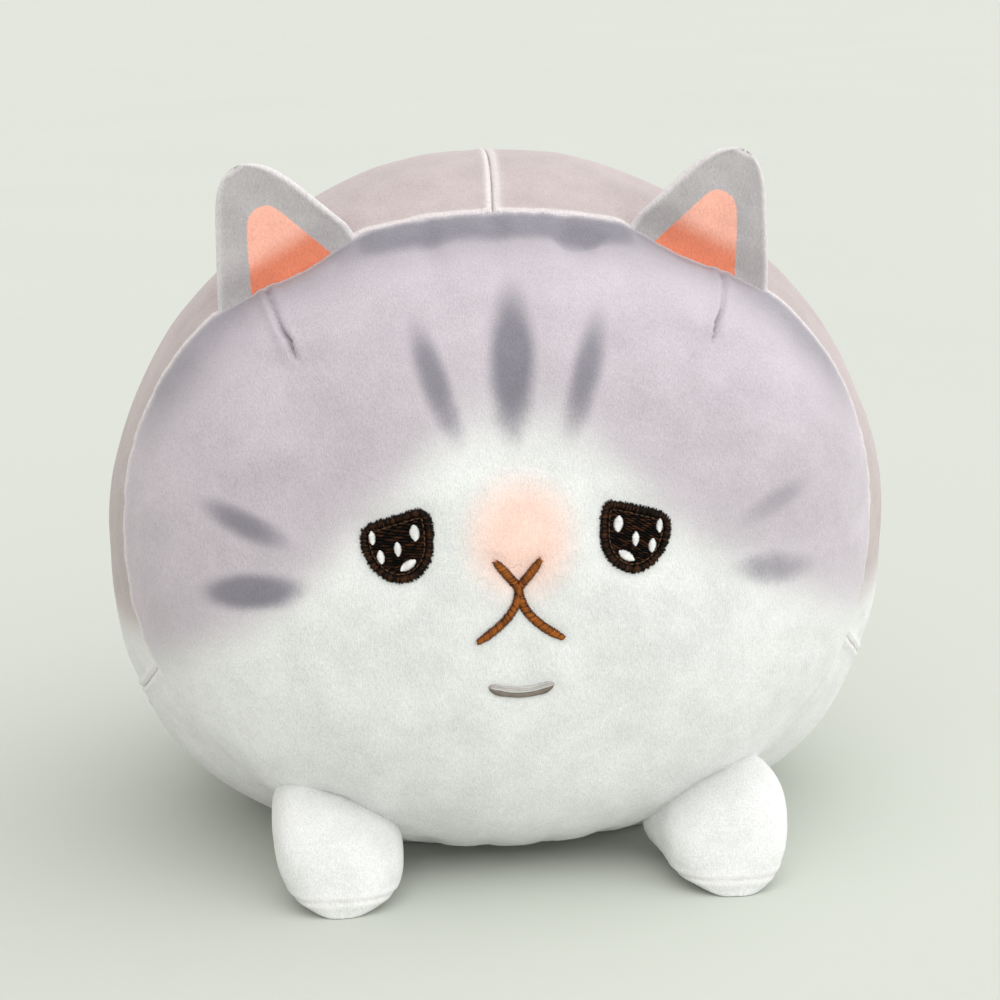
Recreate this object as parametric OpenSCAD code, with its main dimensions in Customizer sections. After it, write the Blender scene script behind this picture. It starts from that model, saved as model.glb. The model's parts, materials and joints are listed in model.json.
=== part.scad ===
// Plush cat: a stuffed loaf-shaped body with a domed face panel, two ears, four paws and a tail.
// X is the width, the face looks along -Y, Z is up, and the belly and paws rest on Z = 0.
// The origin is on that plane, under the middle of the bounding box.
// Left and right are as seen from the front.

/* [Body] */
// Half of the width across the face seam
face_half_w = 125; // [110:1:135]
// Height of the face above and below the body's middle
face_half_h = 104; // [94:1:108]
// Height of the body's middle over the ground
body_mid_z = 112; // [110:1:116]
// Distance from the face seam to the rump seam
barrel_len = 137; // [110:1:160]
// How much wider the barrel is than a straight tube between its seams
barrel_bulge = 16; // [8:1:22]
// Half of the width across the rump seam
rump_half_w = 108; // [95:1:118]
// Height of the rump seam above and below the body's middle
rump_half_h = 92; // [80:1:98]
// How far the face stands in front of its seam
face_crown = 61; // [45:1:65]
// How far the rump stands behind its seam
rump_crown = 48; // [35:1:60]
// Squareness of the cross-section, where 2 is an ellipse
squareness = 2.15; // [2:0.05:2.5]
// How much squarer the lower half gets in the middle of the barrel, where the stuffing sags
sag_squareness = 0.6; // [0:0.1:0.8]
// Thickness of the plush cloth, pile included
cloth = 2; // [1.5:0.1:2.5]

/* [Face] */
// Distance from the middle of the face to the middle of an eye
eye_x = 37.5; // [32:0.5:44]
// Height of the eyes' middle
eye_z = 121; // [114:0.5:130]
// Width of an eye
eye_w = 24; // [18:0.5:28]
// Height of an eye
eye_h = 22; // [18:0.5:26]
// Height of the point where the two nose stitches cross
nose_z = 104.5; // [96:0.5:110]
// Width of a nose stitch
nose_stitch_w = 3.1; // [2:0.1:4]
// Height of the mouth stitch
mouth_z = 72.5; // [64:0.5:78]
// Length of the mouth stitch
mouth_len = 22; // [16:0.5:28]
// Length of the dart that shapes the face under each ear
dart_len = 25; // [18:1:32]

/* [Ears] */
// Length of an ear along its base
ear_base = 48; // [42:1:56]
// Height of an ear over its base
ear_height = 38; // [30:1:46]
// Slope of an ear's base, falling away from the middle, in degrees
ear_slope = 28.6; // [20:0.2:36]
// Share of the base at which the tip stands, from the outer end
ear_lean = 0.59; // [0.45:0.01:0.7]
// Thickness of an ear
ear_thick = 6; // [5:0.5:8]

/* [Paws and tail] */
// Half width of a paw's round end
paw_half_w = 21; // [17:0.5:22]
// Half height of a paw's round end
paw_half_h = 16; // [14:0.5:18]
// Length of a paw's round end
paw_toe = 24; // [18:0.5:28]
// Half width of a paw where it is sewn on
paw_root_w = 15; // [12:0.5:17]
// Half height of a paw where it is sewn on
paw_root_h = 6; // [5:0.5:8]
// Distance from the middle to the round end of the front left paw and of the front right one
front_paw_x = [59.5, 67]; // [56:0.5:68]
// Radius of the tail
tail_r = 11.5; // [9:0.5:14]
// Radius of the tail's upward curl
tail_curl = 34; // [26:1:44]
// How far the tail curls, in degrees
tail_sweep = 62; // [40:1:80]

/* [Hidden] */

grey_cloth = [0.70, 0.66, 0.68];
white_cloth = [0.93, 0.93, 0.92];
pink_cloth = [0.96, 0.60, 0.50];
brown_thread = [0.13, 0.07, 0.04];
rust_thread = [0.45, 0.19, 0.06];
taupe_thread = [0.50, 0.46, 0.44];
white_thread = [0.96, 0.96, 0.96];
fibre_fill = [0.97, 0.97, 0.95];

// Where the seams lie along Y, before the whole is centred.
face_seam_y = -62;
rump_seam_y = face_seam_y + barrel_len;
nose_y = face_seam_y - face_crown;
rump_y = rump_seam_y + rump_crown;
seam_run = 12;          // the bottom of the face seam lies this much further forward than its top
rump_run = 6;           // the bottom of the rump seam lies this much further back than its top
back_rise = 4;          // the barrel's back bulges this much more than its sides
rump_droop = 6;         // the rump seam reaches this much further down than up
side_seam_deg = -22;    // the belly panel starts this far below the middle, on each side
fill_gap = cloth + 2.2; // the stuffing starts this far inside the outer surface
thread_r = 0.5;
thread_in = cloth + 1.1; // the seam threads lie in the gap between the cloth and the stuffing
round_steps = 40;       // steps round the body
barrel_rows = 9;        // steps along the barrel
stitch_in = 1;          // embroidery goes this deep into the cloth
hollow_gap = 0.3;       // room between a small part's cloth and its stuffing

// Paws: where each right one is sewn on, and where its round end sits. The soles are pressed flat.
sole_press = 0.4;
sole_z = 5.5;
front_root = [60, face_seam_y - 20, paw_root_h];
front_tip_y = face_seam_y - 47.5;
rear_root = [54, rump_seam_y + 15, paw_root_h];
rear_tip = [64, rump_seam_y + 39.5, paw_half_h];
function front_tip(side) = [front_paw_x[side < 0 ? 0 : 1], front_tip_y, paw_half_h];

// Tail: the middle of its sewn end.
tail_root_r = 9;
tail_pivot = [0, rump_y + tail_root_r, 84];

front_reach = front_tip_y - paw_toe;
rear_reach = tail_pivot[1] + tail_curl * sin(tail_sweep) + tail_r;
centre_shift = -(front_reach + rear_reach) / 2;

function mix(a, b, t) = a + (b - a) * t;
function signed_pow(v, e) = sign(v) * pow(abs(v), e);

// ---- The body's outer surface, or the same surface moved in by i ----

// Half width of the barrel at s, from 0 at the face seam to 1 at the rump seam.
// Its half heights over and under the middle follow; arch is 0 at the seams and 1 halfway.
function arch(s) = 4 * s * (1 - s);
function half_w(s, i) = mix(face_half_w, rump_half_w, s) + barrel_bulge * arch(s) - i;
function half_up(s, i) = mix(face_half_h, rump_half_h, s) + (barrel_bulge + back_rise) * arch(s) - i;
function half_down(s, i) = mix(face_half_h, rump_half_h + rump_droop, s) + barrel_bulge * arch(s) - i;

function seam_y(s, sn) =
    mix(face_seam_y, rump_seam_y, s) + pow(max(0, -sn), 2) * mix(-seam_run, rump_run, s);

function barrel_point(s, deg, i = 0) =
    let (cs = cos(deg), sn = sin(deg),
         e = 2 / (squareness + (sn < 0 ? sag_squareness * arch(s) : 0)),
         half_h = sn > 0 ? half_up(s, i) : half_down(s, i))
    [half_w(s, i) * signed_pow(cs, e),
     seam_y(s, sn),
     max(i, body_mid_z + half_h * signed_pow(sn, e))];

// How far a dome has fallen from its crown, from 0 at the middle to 1 at its seam.
// Low on the body the stuffing sags, so the dome is fuller there.
function fall(rho, sn) =
    let (low = max(0, -sn), p = mix(2.3, 3.2, low), q = mix(0.62, 0.55, low))
    1 - pow(max(0, 1 - pow(rho, p)), q);

function dome_point(s, crown_y, rho, deg, i) =
    let (edge = barrel_point(s, deg, i), sn = sin(deg), inner_crown = crown_y + (s < 0.5 ? i : -i))
    [edge[0] * rho, mix(inner_crown, edge[1], fall(rho, sn)), max(i, mix(body_mid_z, edge[2], rho))];

function face_point(rho, deg, i = 0) = dome_point(0, nose_y, rho, deg, i);
function rump_point(rho, deg, i = 0) = dome_point(1, rump_y, rho, deg, i);

// The face's Y at a given X and Z.
function face_y(x, z, i = 0) =
    let (h = z - body_mid_z, a = half_w(0, i), b = h > 0 ? half_up(0, i) : half_down(0, i), n = squareness,
         rho = max(1e-6, pow(pow(abs(x) / a, n) + pow(abs(h) / b, n), 1 / n)),
         sn = sign(h) * pow(min(1, abs(h) / (b * rho)), n / 2))
    mix(nose_y + i, seam_y(0, sn), fall(min(rho, 1), sn));

// ---- Solids from rows of points ----

// The triangles between two rows of n points that start at a and b in the list.
function strip(a, b, n, flip = false) =
    [for (k = [0:n - 2]) each flip
        ? [[a + k, b + k, a + k + 1], [a + k + 1, b + k, b + k + 1]]
        : [[a + k, a + k + 1, b + k], [a + k + 1, b + k + 1, b + k]]];
function closed_strip(a, b, n) =
    [for (k = [0:n - 1]) let (m = (k + 1) % n) each [[a + k, a + m, b + k], [a + m, b + m, b + k]]];
function fan(pole, a, n, flip = false) =
    [for (k = [0:n - 1]) let (m = (k + 1) % n) flip ? [pole, a + m, a + k] : [pole, a + k, a + m]];
function flat_list(rows) = [for (row = rows) each row];

// A cloth panel with four edges: an outer and an inner grid of points, joined along their edges.
module panel(outer, inner) {
    rows = len(outer);
    n = len(outer[0]);
    half = rows * n;
    walls = [for (r = [0:rows - 2])
        each [[r * n, (r + 1) * n, half + r * n], [(r + 1) * n, half + (r + 1) * n, half + r * n],
              [r * n + n - 1, half + r * n + n - 1, (r + 1) * n + n - 1],
              [(r + 1) * n + n - 1, half + r * n + n - 1, half + (r + 1) * n + n - 1]]];
    polyhedron(
        concat(flat_list(outer), flat_list(inner)),
        concat(
            [for (r = [0:rows - 2]) each strip(r * n, (r + 1) * n, n)],
            [for (r = [0:rows - 2]) each strip(half + r * n, half + (r + 1) * n, n, true)],
            strip(half, 0, n), strip((rows - 1) * n, half + (rows - 1) * n, n), walls));
}

// A solid of closed rings between two poles.
module rings_solid(first_pole, rings, last_pole) {
    n = len(rings[0]);
    last = 1 + len(rings) * n;
    polyhedron(
        concat([first_pole], flat_list(rings), [last_pole]),
        concat(
            fan(0, 1, n, true),
            [for (r = [0:len(rings) - 2]) each closed_strip(1 + r * n, 1 + (r + 1) * n, n)],
            fan(last, last - n, n)));
}

// A round cord along points; with loop it closes on itself.
module cord(points, r, sides = 6, loop = false) {
    count = len(points);
    function ahead(k) = points[loop ? (k + 1) % count : min(k + 1, count - 1)];
    function behind(k) = points[loop ? (k + count - 1) % count : max(k - 1, 0)];
    function along(k) = let (d = ahead(k) - behind(k)) d / norm(d);
    rings = [for (k = [0:count - 1])
        let (d = along(k), up = abs(d[1]) < 0.9 ? [0, 1, 0] : [0, 0, 1],
             u = cross(d, up) / norm(cross(d, up)), v = cross(u, d))
        [for (j = [0:sides - 1]) points[k] + r * (cos(j * 360 / sides) * u + sin(j * 360 / sides) * v)]];
    if (loop)
        polyhedron(flat_list(rings),
            [for (r = [0:count - 1]) each closed_strip(r * sides, ((r + 1) % count) * sides, sides)]);
    else
        rings_solid(points[0], rings, points[count - 1]);
}

// Moves a part so that the whole is centred over the origin.
module placed() {
    translate([0, centre_shift, 0]) children();
}

// ---- Body ----

dome_rows = [for (k = [1:9]) sin(k * 10)];

// A round of dome points at one share of the way to the seam.
function face_ring(rho, i) = [for (k = [0:round_steps - 1]) face_point(rho, k * 360 / round_steps, i)];
function rump_ring(rho, i) = [for (k = [0:round_steps - 1]) rump_point(rho, k * 360 / round_steps, i)];

module face_panel() {
    outer = [for (rho = dome_rows) face_ring(rho, 0)];
    inner = [for (k = [len(dome_rows) - 1:-1:0]) face_ring(dome_rows[k], cloth)];
    color(grey_cloth) placed()
        rings_solid(face_point(0, 0), concat(outer, inner), face_point(0, 0, cloth));
}

module rump_panel() {
    outer = [for (k = [len(dome_rows) - 1:-1:0]) rump_ring(dome_rows[k], 0)];
    inner = [for (rho = dome_rows) rump_ring(rho, cloth)];
    color(grey_cloth) placed()
        rings_solid(rump_point(0, 0, cloth), concat(inner, outer), rump_point(0, 0));
}

// The part of the barrel between two angles.
module barrel_panel(from_deg, to_deg, steps) {
    function grid(i) = [for (r = [0:barrel_rows])
        [for (k = [0:steps]) barrel_point(r / barrel_rows, mix(from_deg, to_deg, k / steps), i)]];
    placed() panel(grid(0), grid(cloth));
}

module upper_left_panel() color(grey_cloth) barrel_panel(90, 180 - side_seam_deg, 12);
module upper_right_panel() color(grey_cloth) barrel_panel(side_seam_deg, 90, 12);
module belly_panel() color(white_cloth) barrel_panel(180 - side_seam_deg, 360 + side_seam_deg, 16);

module body_stuffing() {
    steps = 28;
    function ring(f) = [for (k = [0:steps - 1]) f(k * 360 / steps)];
    face_rings = [for (rho = [0.3, 0.6, 0.82, 0.95]) ring(function(deg) face_point(rho, deg, fill_gap))];
    barrel_rings = [for (r = [0:6]) ring(function(deg) barrel_point(r / 6, deg, fill_gap))];
    rump_rings = [for (rho = [0.95, 0.82, 0.6, 0.3]) ring(function(deg) rump_point(rho, deg, fill_gap))];
    color(fibre_fill) placed()
        rings_solid(face_point(0, 0, fill_gap), concat(face_rings, barrel_rings, rump_rings),
            rump_point(0, 0, fill_gap));
}

// ---- Seam threads ----

seam_steps = 48;
module ring_seam_thread(s) {
    points = [for (k = [0:seam_steps - 1]) barrel_point(s, k * 360 / seam_steps, thread_in)];
    color(white_thread) placed() cord(points, thread_r, 5, true);
}

module face_seam_thread() ring_seam_thread(0);
module rump_seam_thread() ring_seam_thread(1);
module back_seam_thread()
    color(white_thread) placed()
        cord([for (k = [1:13]) barrel_point(k / 14, 90, thread_in)], thread_r, 5);

// The hand-sewn stitches that close the belly after stuffing, set in the cloth beside the side seam.
module closing_stitches() {
    count = 9;
    first = 0.36;    // along the barrel
    last = 0.64;
    start_deg = 180 - side_seam_deg + 4;
    slant_deg = 8;
    sunk = 0.2;
    color(white_thread) placed()
        for (k = [0:count - 1]) {
            s = mix(first, last, k / (count - 1));
            cord([for (t = [0:3]) barrel_point(s, start_deg - slant_deg * t / 3, sunk)], thread_r, 6);
        }
}

// The dart under each ear runs from the face seam towards the middle of the face.
dart_rho = [0.985, 1 - dart_len / (face_half_w + face_half_h) * 2];
dart_deg = [53, 49];
function dart_point(t) =
    face_point(mix(dart_rho[0], dart_rho[1], t), mix(dart_deg[0], dart_deg[1], t), thread_in);
module dart_stitches()
    color(white_thread) placed()
        for (side = [-1, 1])
            cord([for (k = [0:6]) let (p = dart_point(k / 6)) [side * p[0], p[1], p[2]]], thread_r, 5);

// ---- Embroidery ----

// A raised patch on the face: rings of an outline, each point given as [x, z].
module face_patch(outline, middle, height, depth = stitch_in) {
    n = len(outline);
    shares = [0.34, 0.67, 1];
    function at(p, y) = [p[0], face_y(p[0], p[1]) + y, p[1]];
    function ring(share, y) = [for (p = outline) at(middle + (p - middle) * share, y)];
    placed()
        rings_solid(at(middle, -height),
            concat([for (s = shares) ring(s, -height)], [for (k = [2:-1:0]) ring(shares[k], depth)]),
            at(middle, depth));
}

// An eye: a droopy half-round whose top edge slants down towards its outer end. The outline runs round the
// bottom first, and grow moves it outwards.
eye_slant = 17;
eye_centre_share = 0.64; // share of the height that lies under the eye's middle
function eye_outline(side, grow = 0) =
    let (w = eye_w / 2 + grow,
         drop = eye_h * eye_centre_share + grow,
         rise = eye_h * (1 - eye_centre_share) + grow,
         bottom = [for (a = [180:15:360]) [w * cos(a), drop * sin(a)]],
         top = [for (a = [20:28:160]) [w * signed_pow(cos(a), 0.35), rise * pow(sin(a), 0.6)]])
    [for (p = concat(bottom, top))
        let (x = p[0] * side, z = p[1], tilt = z > 0 ? 1 : 0.35)
        [side * eye_x + x * cos(eye_slant) + z * side * sin(eye_slant) * 0.4,
         eye_z + z - x * side * sin(eye_slant) * tilt]];

function reversed(list) = [for (k = [len(list) - 1:-1:0]) list[k]];

eye_border_w = 2.4;
eye_border_r = 1.15;
eye_fill_height = 0.9;
module eye_fill(side) {
    outline = eye_outline(side, -eye_border_w);
    color(brown_thread)
        face_patch(side > 0 ? outline : reversed(outline), [side * eye_x, eye_z], eye_fill_height);
}

module eye_border(side)
    color(brown_thread) placed()
        cord([for (p = eye_outline(side, -eye_border_w / 2)) [p[0], face_y(p[0], p[1]) - 0.4, p[1]]],
            eye_border_r, 6, true);

// Where the highlights lie in an eye, each with its half width, half height and turn.
// The first number counts outwards from the eye's middle.
highlight_spots = [
    [7.5, 1.2, 1.3, 2.2, 4], [-5.7, 2.7, 1.8, 2.5, 6], [-0.3, -2.4, 1.3, 2.2, 4],
    [5, -4.9, 1.4, 2.2, 8], [-3.4, -7.6, 1.6, 3, -55]
];
highlight_half_thick = 0.5;
module eye_highlights(side)
    color(white_thread) placed()
        for (spot = highlight_spots) {
            x = side * (eye_x + spot[0]);
            z = eye_z + spot[1];
            translate([x, face_y(x, z) - eye_fill_height - 0.1, z])
                rotate([0, side * spot[4], 0])
                    scale([spot[2], highlight_half_thick, spot[3]]) sphere(r = 1, $fn = 16);
        }

module left_eye_fill() eye_fill(-1);
module right_eye_fill() eye_fill(1);
module left_eye_border() eye_border(-1);
module right_eye_border() eye_border(1);
module left_eye_highlights() eye_highlights(-1);
module right_eye_highlights() eye_highlights(1);

// The two nose stitches cross like an X whose legs flare out at the bottom.
nose_top = [7.6, 9.4];    // from the crossing to a stitch's upper end
nose_leg = [14.2, -17.4]; // and to its lower end
nose_flare = 1.55;
function nose_curve(side) =
    concat(
        [for (t = [1:-0.25:0.25]) [-side * nose_top[0] * t, nose_z + nose_top[1] * t]],
        [for (t = [0:1 / 6:1.01]) [side * nose_leg[0] * pow(t, nose_flare), nose_z + nose_leg[1] * t]]);
module nose_stitch(side, height)
    color(rust_thread) placed()
        cord([for (p = nose_curve(side)) [p[0], face_y(p[0], p[1]) - height, p[1]]], nose_stitch_w / 2, 6);
module nose_stitch_falling() nose_stitch(1, 0);
module nose_stitch_rising() nose_stitch(-1, 0.3);

mouth_sag = 2.2;
mouth_r = 1.1;
module mouth_stitch()
    color(taupe_thread) placed()
        cord([for (t = [-1:0.2:1])
                let (x = mouth_len / 2 * t, z = mouth_z - mouth_sag * (1 - t * t))
                [x, face_y(x, z), z]],
            mouth_r, 6);

// A thin non-woven sheet behind the embroidery keeps the cloth flat.
backing_half = [58, 44];
backing_z = 100;
backing_thick = 0.6;
module embroidery_backing() {
    steps = 24;
    outline = [for (k = [0:steps - 1])
        [backing_half[0] * cos(k * 360 / steps), backing_z + backing_half[1] * sin(k * 360 / steps)]];
    front = cloth + 1;
    color(white_cloth) face_patch(outline, [0, backing_z], -front, front + backing_thick);
}

// ---- Ears ----

ear_hinge_rise = 5; // an ear folds about a line this far over the chord between its base's ends
ear_clear = ear_hinge_rise + 1.5; // and its cloth starts this far over that chord
ear_cup = 3.2;      // the ear's edges stand this much in front of its middle
ear_inner = [46.9, body_mid_z + 97.5];
ear_middle = ear_inner + ear_base / 2 * [cos(ear_slope), -sin(ear_slope)];
ear_y = face_seam_y;

// An ear's edge at height v, from 0 at its base to 1 at its tip, where edge is -1 for the outer one and 1 for
// the inner one. X runs inwards from the base's outer end.
function ear_edge(v, edge) =
    ear_base * (mix(0.5, ear_lean, v) + edge / 2 * pow(1 - pow(v, 1.5), 0.58));

ear_rows = [for (k = [0:7]) sin(k * 11)];
ear_cols = 8;

// A point of an ear's sheet: depth is its distance in front of the ear's middle sheet.
// The ear is thickest in the middle, thin at its rim, and cupped towards the front.
function ear_point(v, k, depth) =
    let (a = ear_edge(v, -1), b = ear_edge(v, 1), t = k / ear_cols,
         swell = sqrt(max(0, 1 - pow(2 * t - 1, 4) * 0.8)) * sqrt(max(0.05, 1 - pow(v, 3))),
         cup = ear_cup * pow(2 * t - 1, 2) * (1 - 0.5 * v))
    [mix(a, b, t) - ear_base / 2, -cup - depth * swell, v * (ear_height - ear_clear)];

module ear_frame(side)
    placed()
        translate([side * ear_middle[0], ear_y, ear_middle[1]])
            mirror([side > 0 ? 1 : 0, 0, 0])
                rotate([0, -ear_slope, 0])
                    translate([0, 0, ear_clear]) children();

module ear_sheet(side, front, back) {
    function grid(depth) = [for (v = ear_rows) [for (k = [0:ear_cols]) ear_point(v, k, depth)]];
    ear_frame(side) panel(grid(back), grid(front));
}

half_ear = ear_thick / 2;
module ear_front(side) color(pink_cloth) ear_sheet(side, half_ear, half_ear - cloth);
module ear_back(side) color(grey_cloth) ear_sheet(side, cloth - half_ear, -half_ear);
module ear_interlining(side)
    color(fibre_fill)
        ear_sheet(side, half_ear - cloth - hollow_gap, cloth - half_ear + hollow_gap);
module left_ear_front() ear_front(-1);
module left_ear_back() ear_back(-1);
module left_ear_interlining() ear_interlining(-1);
module right_ear_front() ear_front(1);
module right_ear_back() ear_back(1);
module right_ear_interlining() ear_interlining(1);

// ---- Paws ----

// A paw between its flat root and its round end, moved in by i. Both ends are rounded off, and what would
// reach below the ground is pressed flat against it.
module paw_body(root, tip, i) {
    rows = 6;
    sides = 20;
    forward = [0, sign(tip[1] - root[1]), 0];
    function half_width(t) = mix(paw_root_w, paw_half_w, pow(t, 1.3)) - i;
    function half_height(t) = mix(paw_root_h, paw_half_h, pow(t, 1.3)) - i;
    function end_length(t) = mix(paw_root_h, paw_toe, t) - i;
    function point(t, push, shrink, a) =
        let (p = [mix(root[0], tip[0], t), mix(root[1], tip[1], t), half_height(t) + i - sole_press]
                 + forward * push * end_length(t)
                 + shrink * [half_width(t) * cos(a), 0, half_height(t) * sin(a)])
        [p[0], p[1], max(i, p[2])];
    function ring(t, push, shrink) =
        [for (k = [0:sides - 1]) point(t, push, shrink, forward[1] * k * 360 / sides)];
    rings_solid(point(0, -1, 0, 0),
        concat([for (a = [-60, -30]) ring(0, sin(a), cos(a))],
            [for (r = [0:rows]) ring(r / rows, 0, 1)],
            [for (a = [22, 44, 66]) ring(1, sin(a), cos(a))]),
        point(1, 1, 0, 0));
}

// Blocks that keep what lies above or below a height.
room = 400;
module above(z) translate([-room / 2, -room / 2, z]) cube(room);
module below(z) translate([-room / 2, -room / 2, z - room]) cube(room);

module mirrored(side) mirror([side < 0 ? 1 : 0, 0, 0]) children();

module paw_cover(root, tip, side)
    color(white_cloth) placed() mirrored(side)
        difference() {
            intersection() { paw_body(root, tip, 0); above(sole_z); }
            paw_body(root, tip, cloth);
        }
module paw_sole(root, tip, side)
    color(white_cloth) placed() mirrored(side)
        difference() {
            intersection() { paw_body(root, tip, 0); below(sole_z); }
            paw_body(root, tip, cloth);
        }
module paw_stuffing(root, tip, side)
    color(fibre_fill) placed() mirrored(side)
        paw_body(root, tip, cloth + hollow_gap);

module front_left_paw_cover() paw_cover(front_root, front_tip(-1), -1);
module front_left_paw_sole() paw_sole(front_root, front_tip(-1), -1);
module front_left_paw_stuffing() paw_stuffing(front_root, front_tip(-1), -1);
module front_right_paw_cover() paw_cover(front_root, front_tip(1), 1);
module front_right_paw_sole() paw_sole(front_root, front_tip(1), 1);
module front_right_paw_stuffing() paw_stuffing(front_root, front_tip(1), 1);
module rear_left_paw_cover() paw_cover(rear_root, rear_tip, -1);
module rear_left_paw_sole() paw_sole(rear_root, rear_tip, -1);
module rear_left_paw_stuffing() paw_stuffing(rear_root, rear_tip, -1);
module rear_right_paw_cover() paw_cover(rear_root, rear_tip, 1);
module rear_right_paw_sole() paw_sole(rear_root, rear_tip, 1);
module rear_right_paw_stuffing() paw_stuffing(rear_root, rear_tip, 1);

// ---- Tail ----

// A tapering arc that leaves the rump backwards and curls up, with a round end, moved in by i.
module tail_body(i) {
    rows = 10;
    sides = 16;
    function radius(t) = mix(tail_root_r, tail_r, sin(min(90, t * 150))) - i;
    function middle(t) =
        let (a = t * tail_sweep) tail_pivot + tail_curl * [0, sin(a), 1 - cos(a)];
    function ring(t, push, r) =
        let (a = t * tail_sweep, along = [0, cos(a), sin(a)], up = [0, -sin(a), cos(a)])
        [for (j = [0:sides - 1])
            middle(t) + push * along + r * (cos(j * 360 / sides) * [1, 0, 0] + sin(j * 360 / sides) * up)];
    root = [for (a = [-60, -30]) ring(0, radius(0) * sin(a), radius(0) * cos(a))];
    tip = [for (a = [30, 60]) ring(1, radius(1) * sin(a), radius(1) * cos(a))];
    end_along = [0, cos(tail_sweep), sin(tail_sweep)];
    rings_solid(middle(0) - [0, radius(0), 0],
        concat(root, [for (r = [0:rows]) ring(r / rows, 0, radius(r / rows))], tip),
        middle(1) + radius(1) * end_along);
}

module tail_cover()
    color(grey_cloth) placed()
        difference() {
            tail_body(0);
            tail_body(cloth);
        }
module tail_stuffing() color(fibre_fill) placed() tail_body(cloth + hollow_gap);

face_panel();
upper_left_panel();
upper_right_panel();
belly_panel();
rump_panel();
body_stuffing();
face_seam_thread();
rump_seam_thread();
back_seam_thread();
closing_stitches();
dart_stitches();
embroidery_backing();
left_eye_fill();
right_eye_fill();
left_eye_border();
right_eye_border();
left_eye_highlights();
right_eye_highlights();
nose_stitch_falling();
nose_stitch_rising();
mouth_stitch();
left_ear_front();
left_ear_back();
left_ear_interlining();
right_ear_front();
right_ear_back();
right_ear_interlining();
front_left_paw_cover();
front_left_paw_sole();
front_left_paw_stuffing();
front_right_paw_cover();
front_right_paw_sole();
front_right_paw_stuffing();
rear_left_paw_cover();
rear_left_paw_sole();
rear_left_paw_stuffing();
rear_right_paw_cover();
rear_right_paw_sole();
rear_right_paw_stuffing();
tail_cover();
tail_stuffing();
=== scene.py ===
"""Looks of the plush cat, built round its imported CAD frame.

Everything is in metres, in the frame's own axes: the face looks along -Y and Z is up. The cloth, fillings,
threads and embroidery stand for the plain CAD solids. The stuffed forms are blown up by a cloth simulation,
and the seams, darts and stitches are worked into the result.
"""
import json
import math
import random

import bmesh
import bpy
import numpy as np
from mathutils import Matrix, Vector, noise
from mathutils.bvhtree import BVHTree
from mathutils.kdtree import KDTree


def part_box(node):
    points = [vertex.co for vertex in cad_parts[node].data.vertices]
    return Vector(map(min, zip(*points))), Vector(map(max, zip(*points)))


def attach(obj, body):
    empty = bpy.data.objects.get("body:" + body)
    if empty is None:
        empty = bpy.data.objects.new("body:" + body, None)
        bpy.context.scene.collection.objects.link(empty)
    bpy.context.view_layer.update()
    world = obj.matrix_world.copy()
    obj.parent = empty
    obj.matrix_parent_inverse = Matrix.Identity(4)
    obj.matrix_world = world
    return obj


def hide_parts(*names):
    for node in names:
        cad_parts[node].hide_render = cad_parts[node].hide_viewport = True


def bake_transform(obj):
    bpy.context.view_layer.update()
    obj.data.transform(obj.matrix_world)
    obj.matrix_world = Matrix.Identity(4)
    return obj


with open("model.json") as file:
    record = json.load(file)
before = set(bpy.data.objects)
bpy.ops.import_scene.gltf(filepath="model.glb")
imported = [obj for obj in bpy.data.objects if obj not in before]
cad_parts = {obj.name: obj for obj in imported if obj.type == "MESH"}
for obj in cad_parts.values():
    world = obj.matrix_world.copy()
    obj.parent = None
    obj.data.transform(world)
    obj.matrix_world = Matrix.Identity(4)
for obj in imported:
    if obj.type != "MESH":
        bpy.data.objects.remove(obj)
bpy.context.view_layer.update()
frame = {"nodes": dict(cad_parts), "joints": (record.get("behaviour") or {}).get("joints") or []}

MM = 0.001
scene = bpy.context.scene
joints = {joint["name"]: joint for joint in frame["joints"]}

# ---- Sizes of the body, from the frame ----

face_lo, face_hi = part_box("face_panel")
rump_lo, rump_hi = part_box("rump_panel")
belly_lo, belly_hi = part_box("belly_panel")

MIDDLE_Z = (face_lo.z + face_hi.z) / 2
NOSE_Y = face_lo.y
FACE_SEAM_Y = face_hi.y
RUMP_SEAM_Y = rump_lo.y
RUMP_Y = rump_hi.y
SEAM_RUN = FACE_SEAM_Y - belly_lo.y
RUMP_RUN = belly_hi.y - RUMP_SEAM_Y
FACE_HALF_W = face_hi.x
FACE_HALF_H = face_hi.z - MIDDLE_Z
RUMP_HALF_W = rump_hi.x
RUMP_UP = rump_hi.z - MIDDLE_Z
RUMP_DOWN = MIDDLE_Z - rump_lo.z
BULGE = 18 * MM             # the barrel is this much wider halfway than a straight tube
BACK_RISE = 4 * MM          # and its back rises this much more
SAG = 10 * MM               # its widest place sinks this far
LEAN = 3 * MM               # the stuffing leans to the right
FACE_DROOP = 4 * MM         # and sags this far at the bottom of the face
SQUARENESS = 2.15           # 2 would be an ellipse
SAG_SQUARENESS = 0.6        # the barrel is this much squarer below
PEAK = 0.25                 # and this much more pointed above
SIDE_SEAM_DEG = -22
LEFT_SEAM_DEG = 180 - SIDE_SEAM_DEG
BELLY_END_DEG = 360 + SIDE_SEAM_DEG
DART_DEG = 51


def mix(a, b, t):
    return a + (b - a) * t


def smooth(t):
    """0 below 0, 1 above 1, and an even curve between."""
    t = np.clip(t, 0, 1)
    return t * t * (3 - 2 * t)


def bump(distance, width):
    """1 at no distance, fading to 0 over a few widths."""
    return np.exp(-((distance / width) ** 2))


def arch(s):
    """0 at both seams of the barrel and 1 halfway."""
    return 4 * s * (1 - s)


def signed_pow(value, power):
    return np.sign(value) * np.abs(value) ** power


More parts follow.
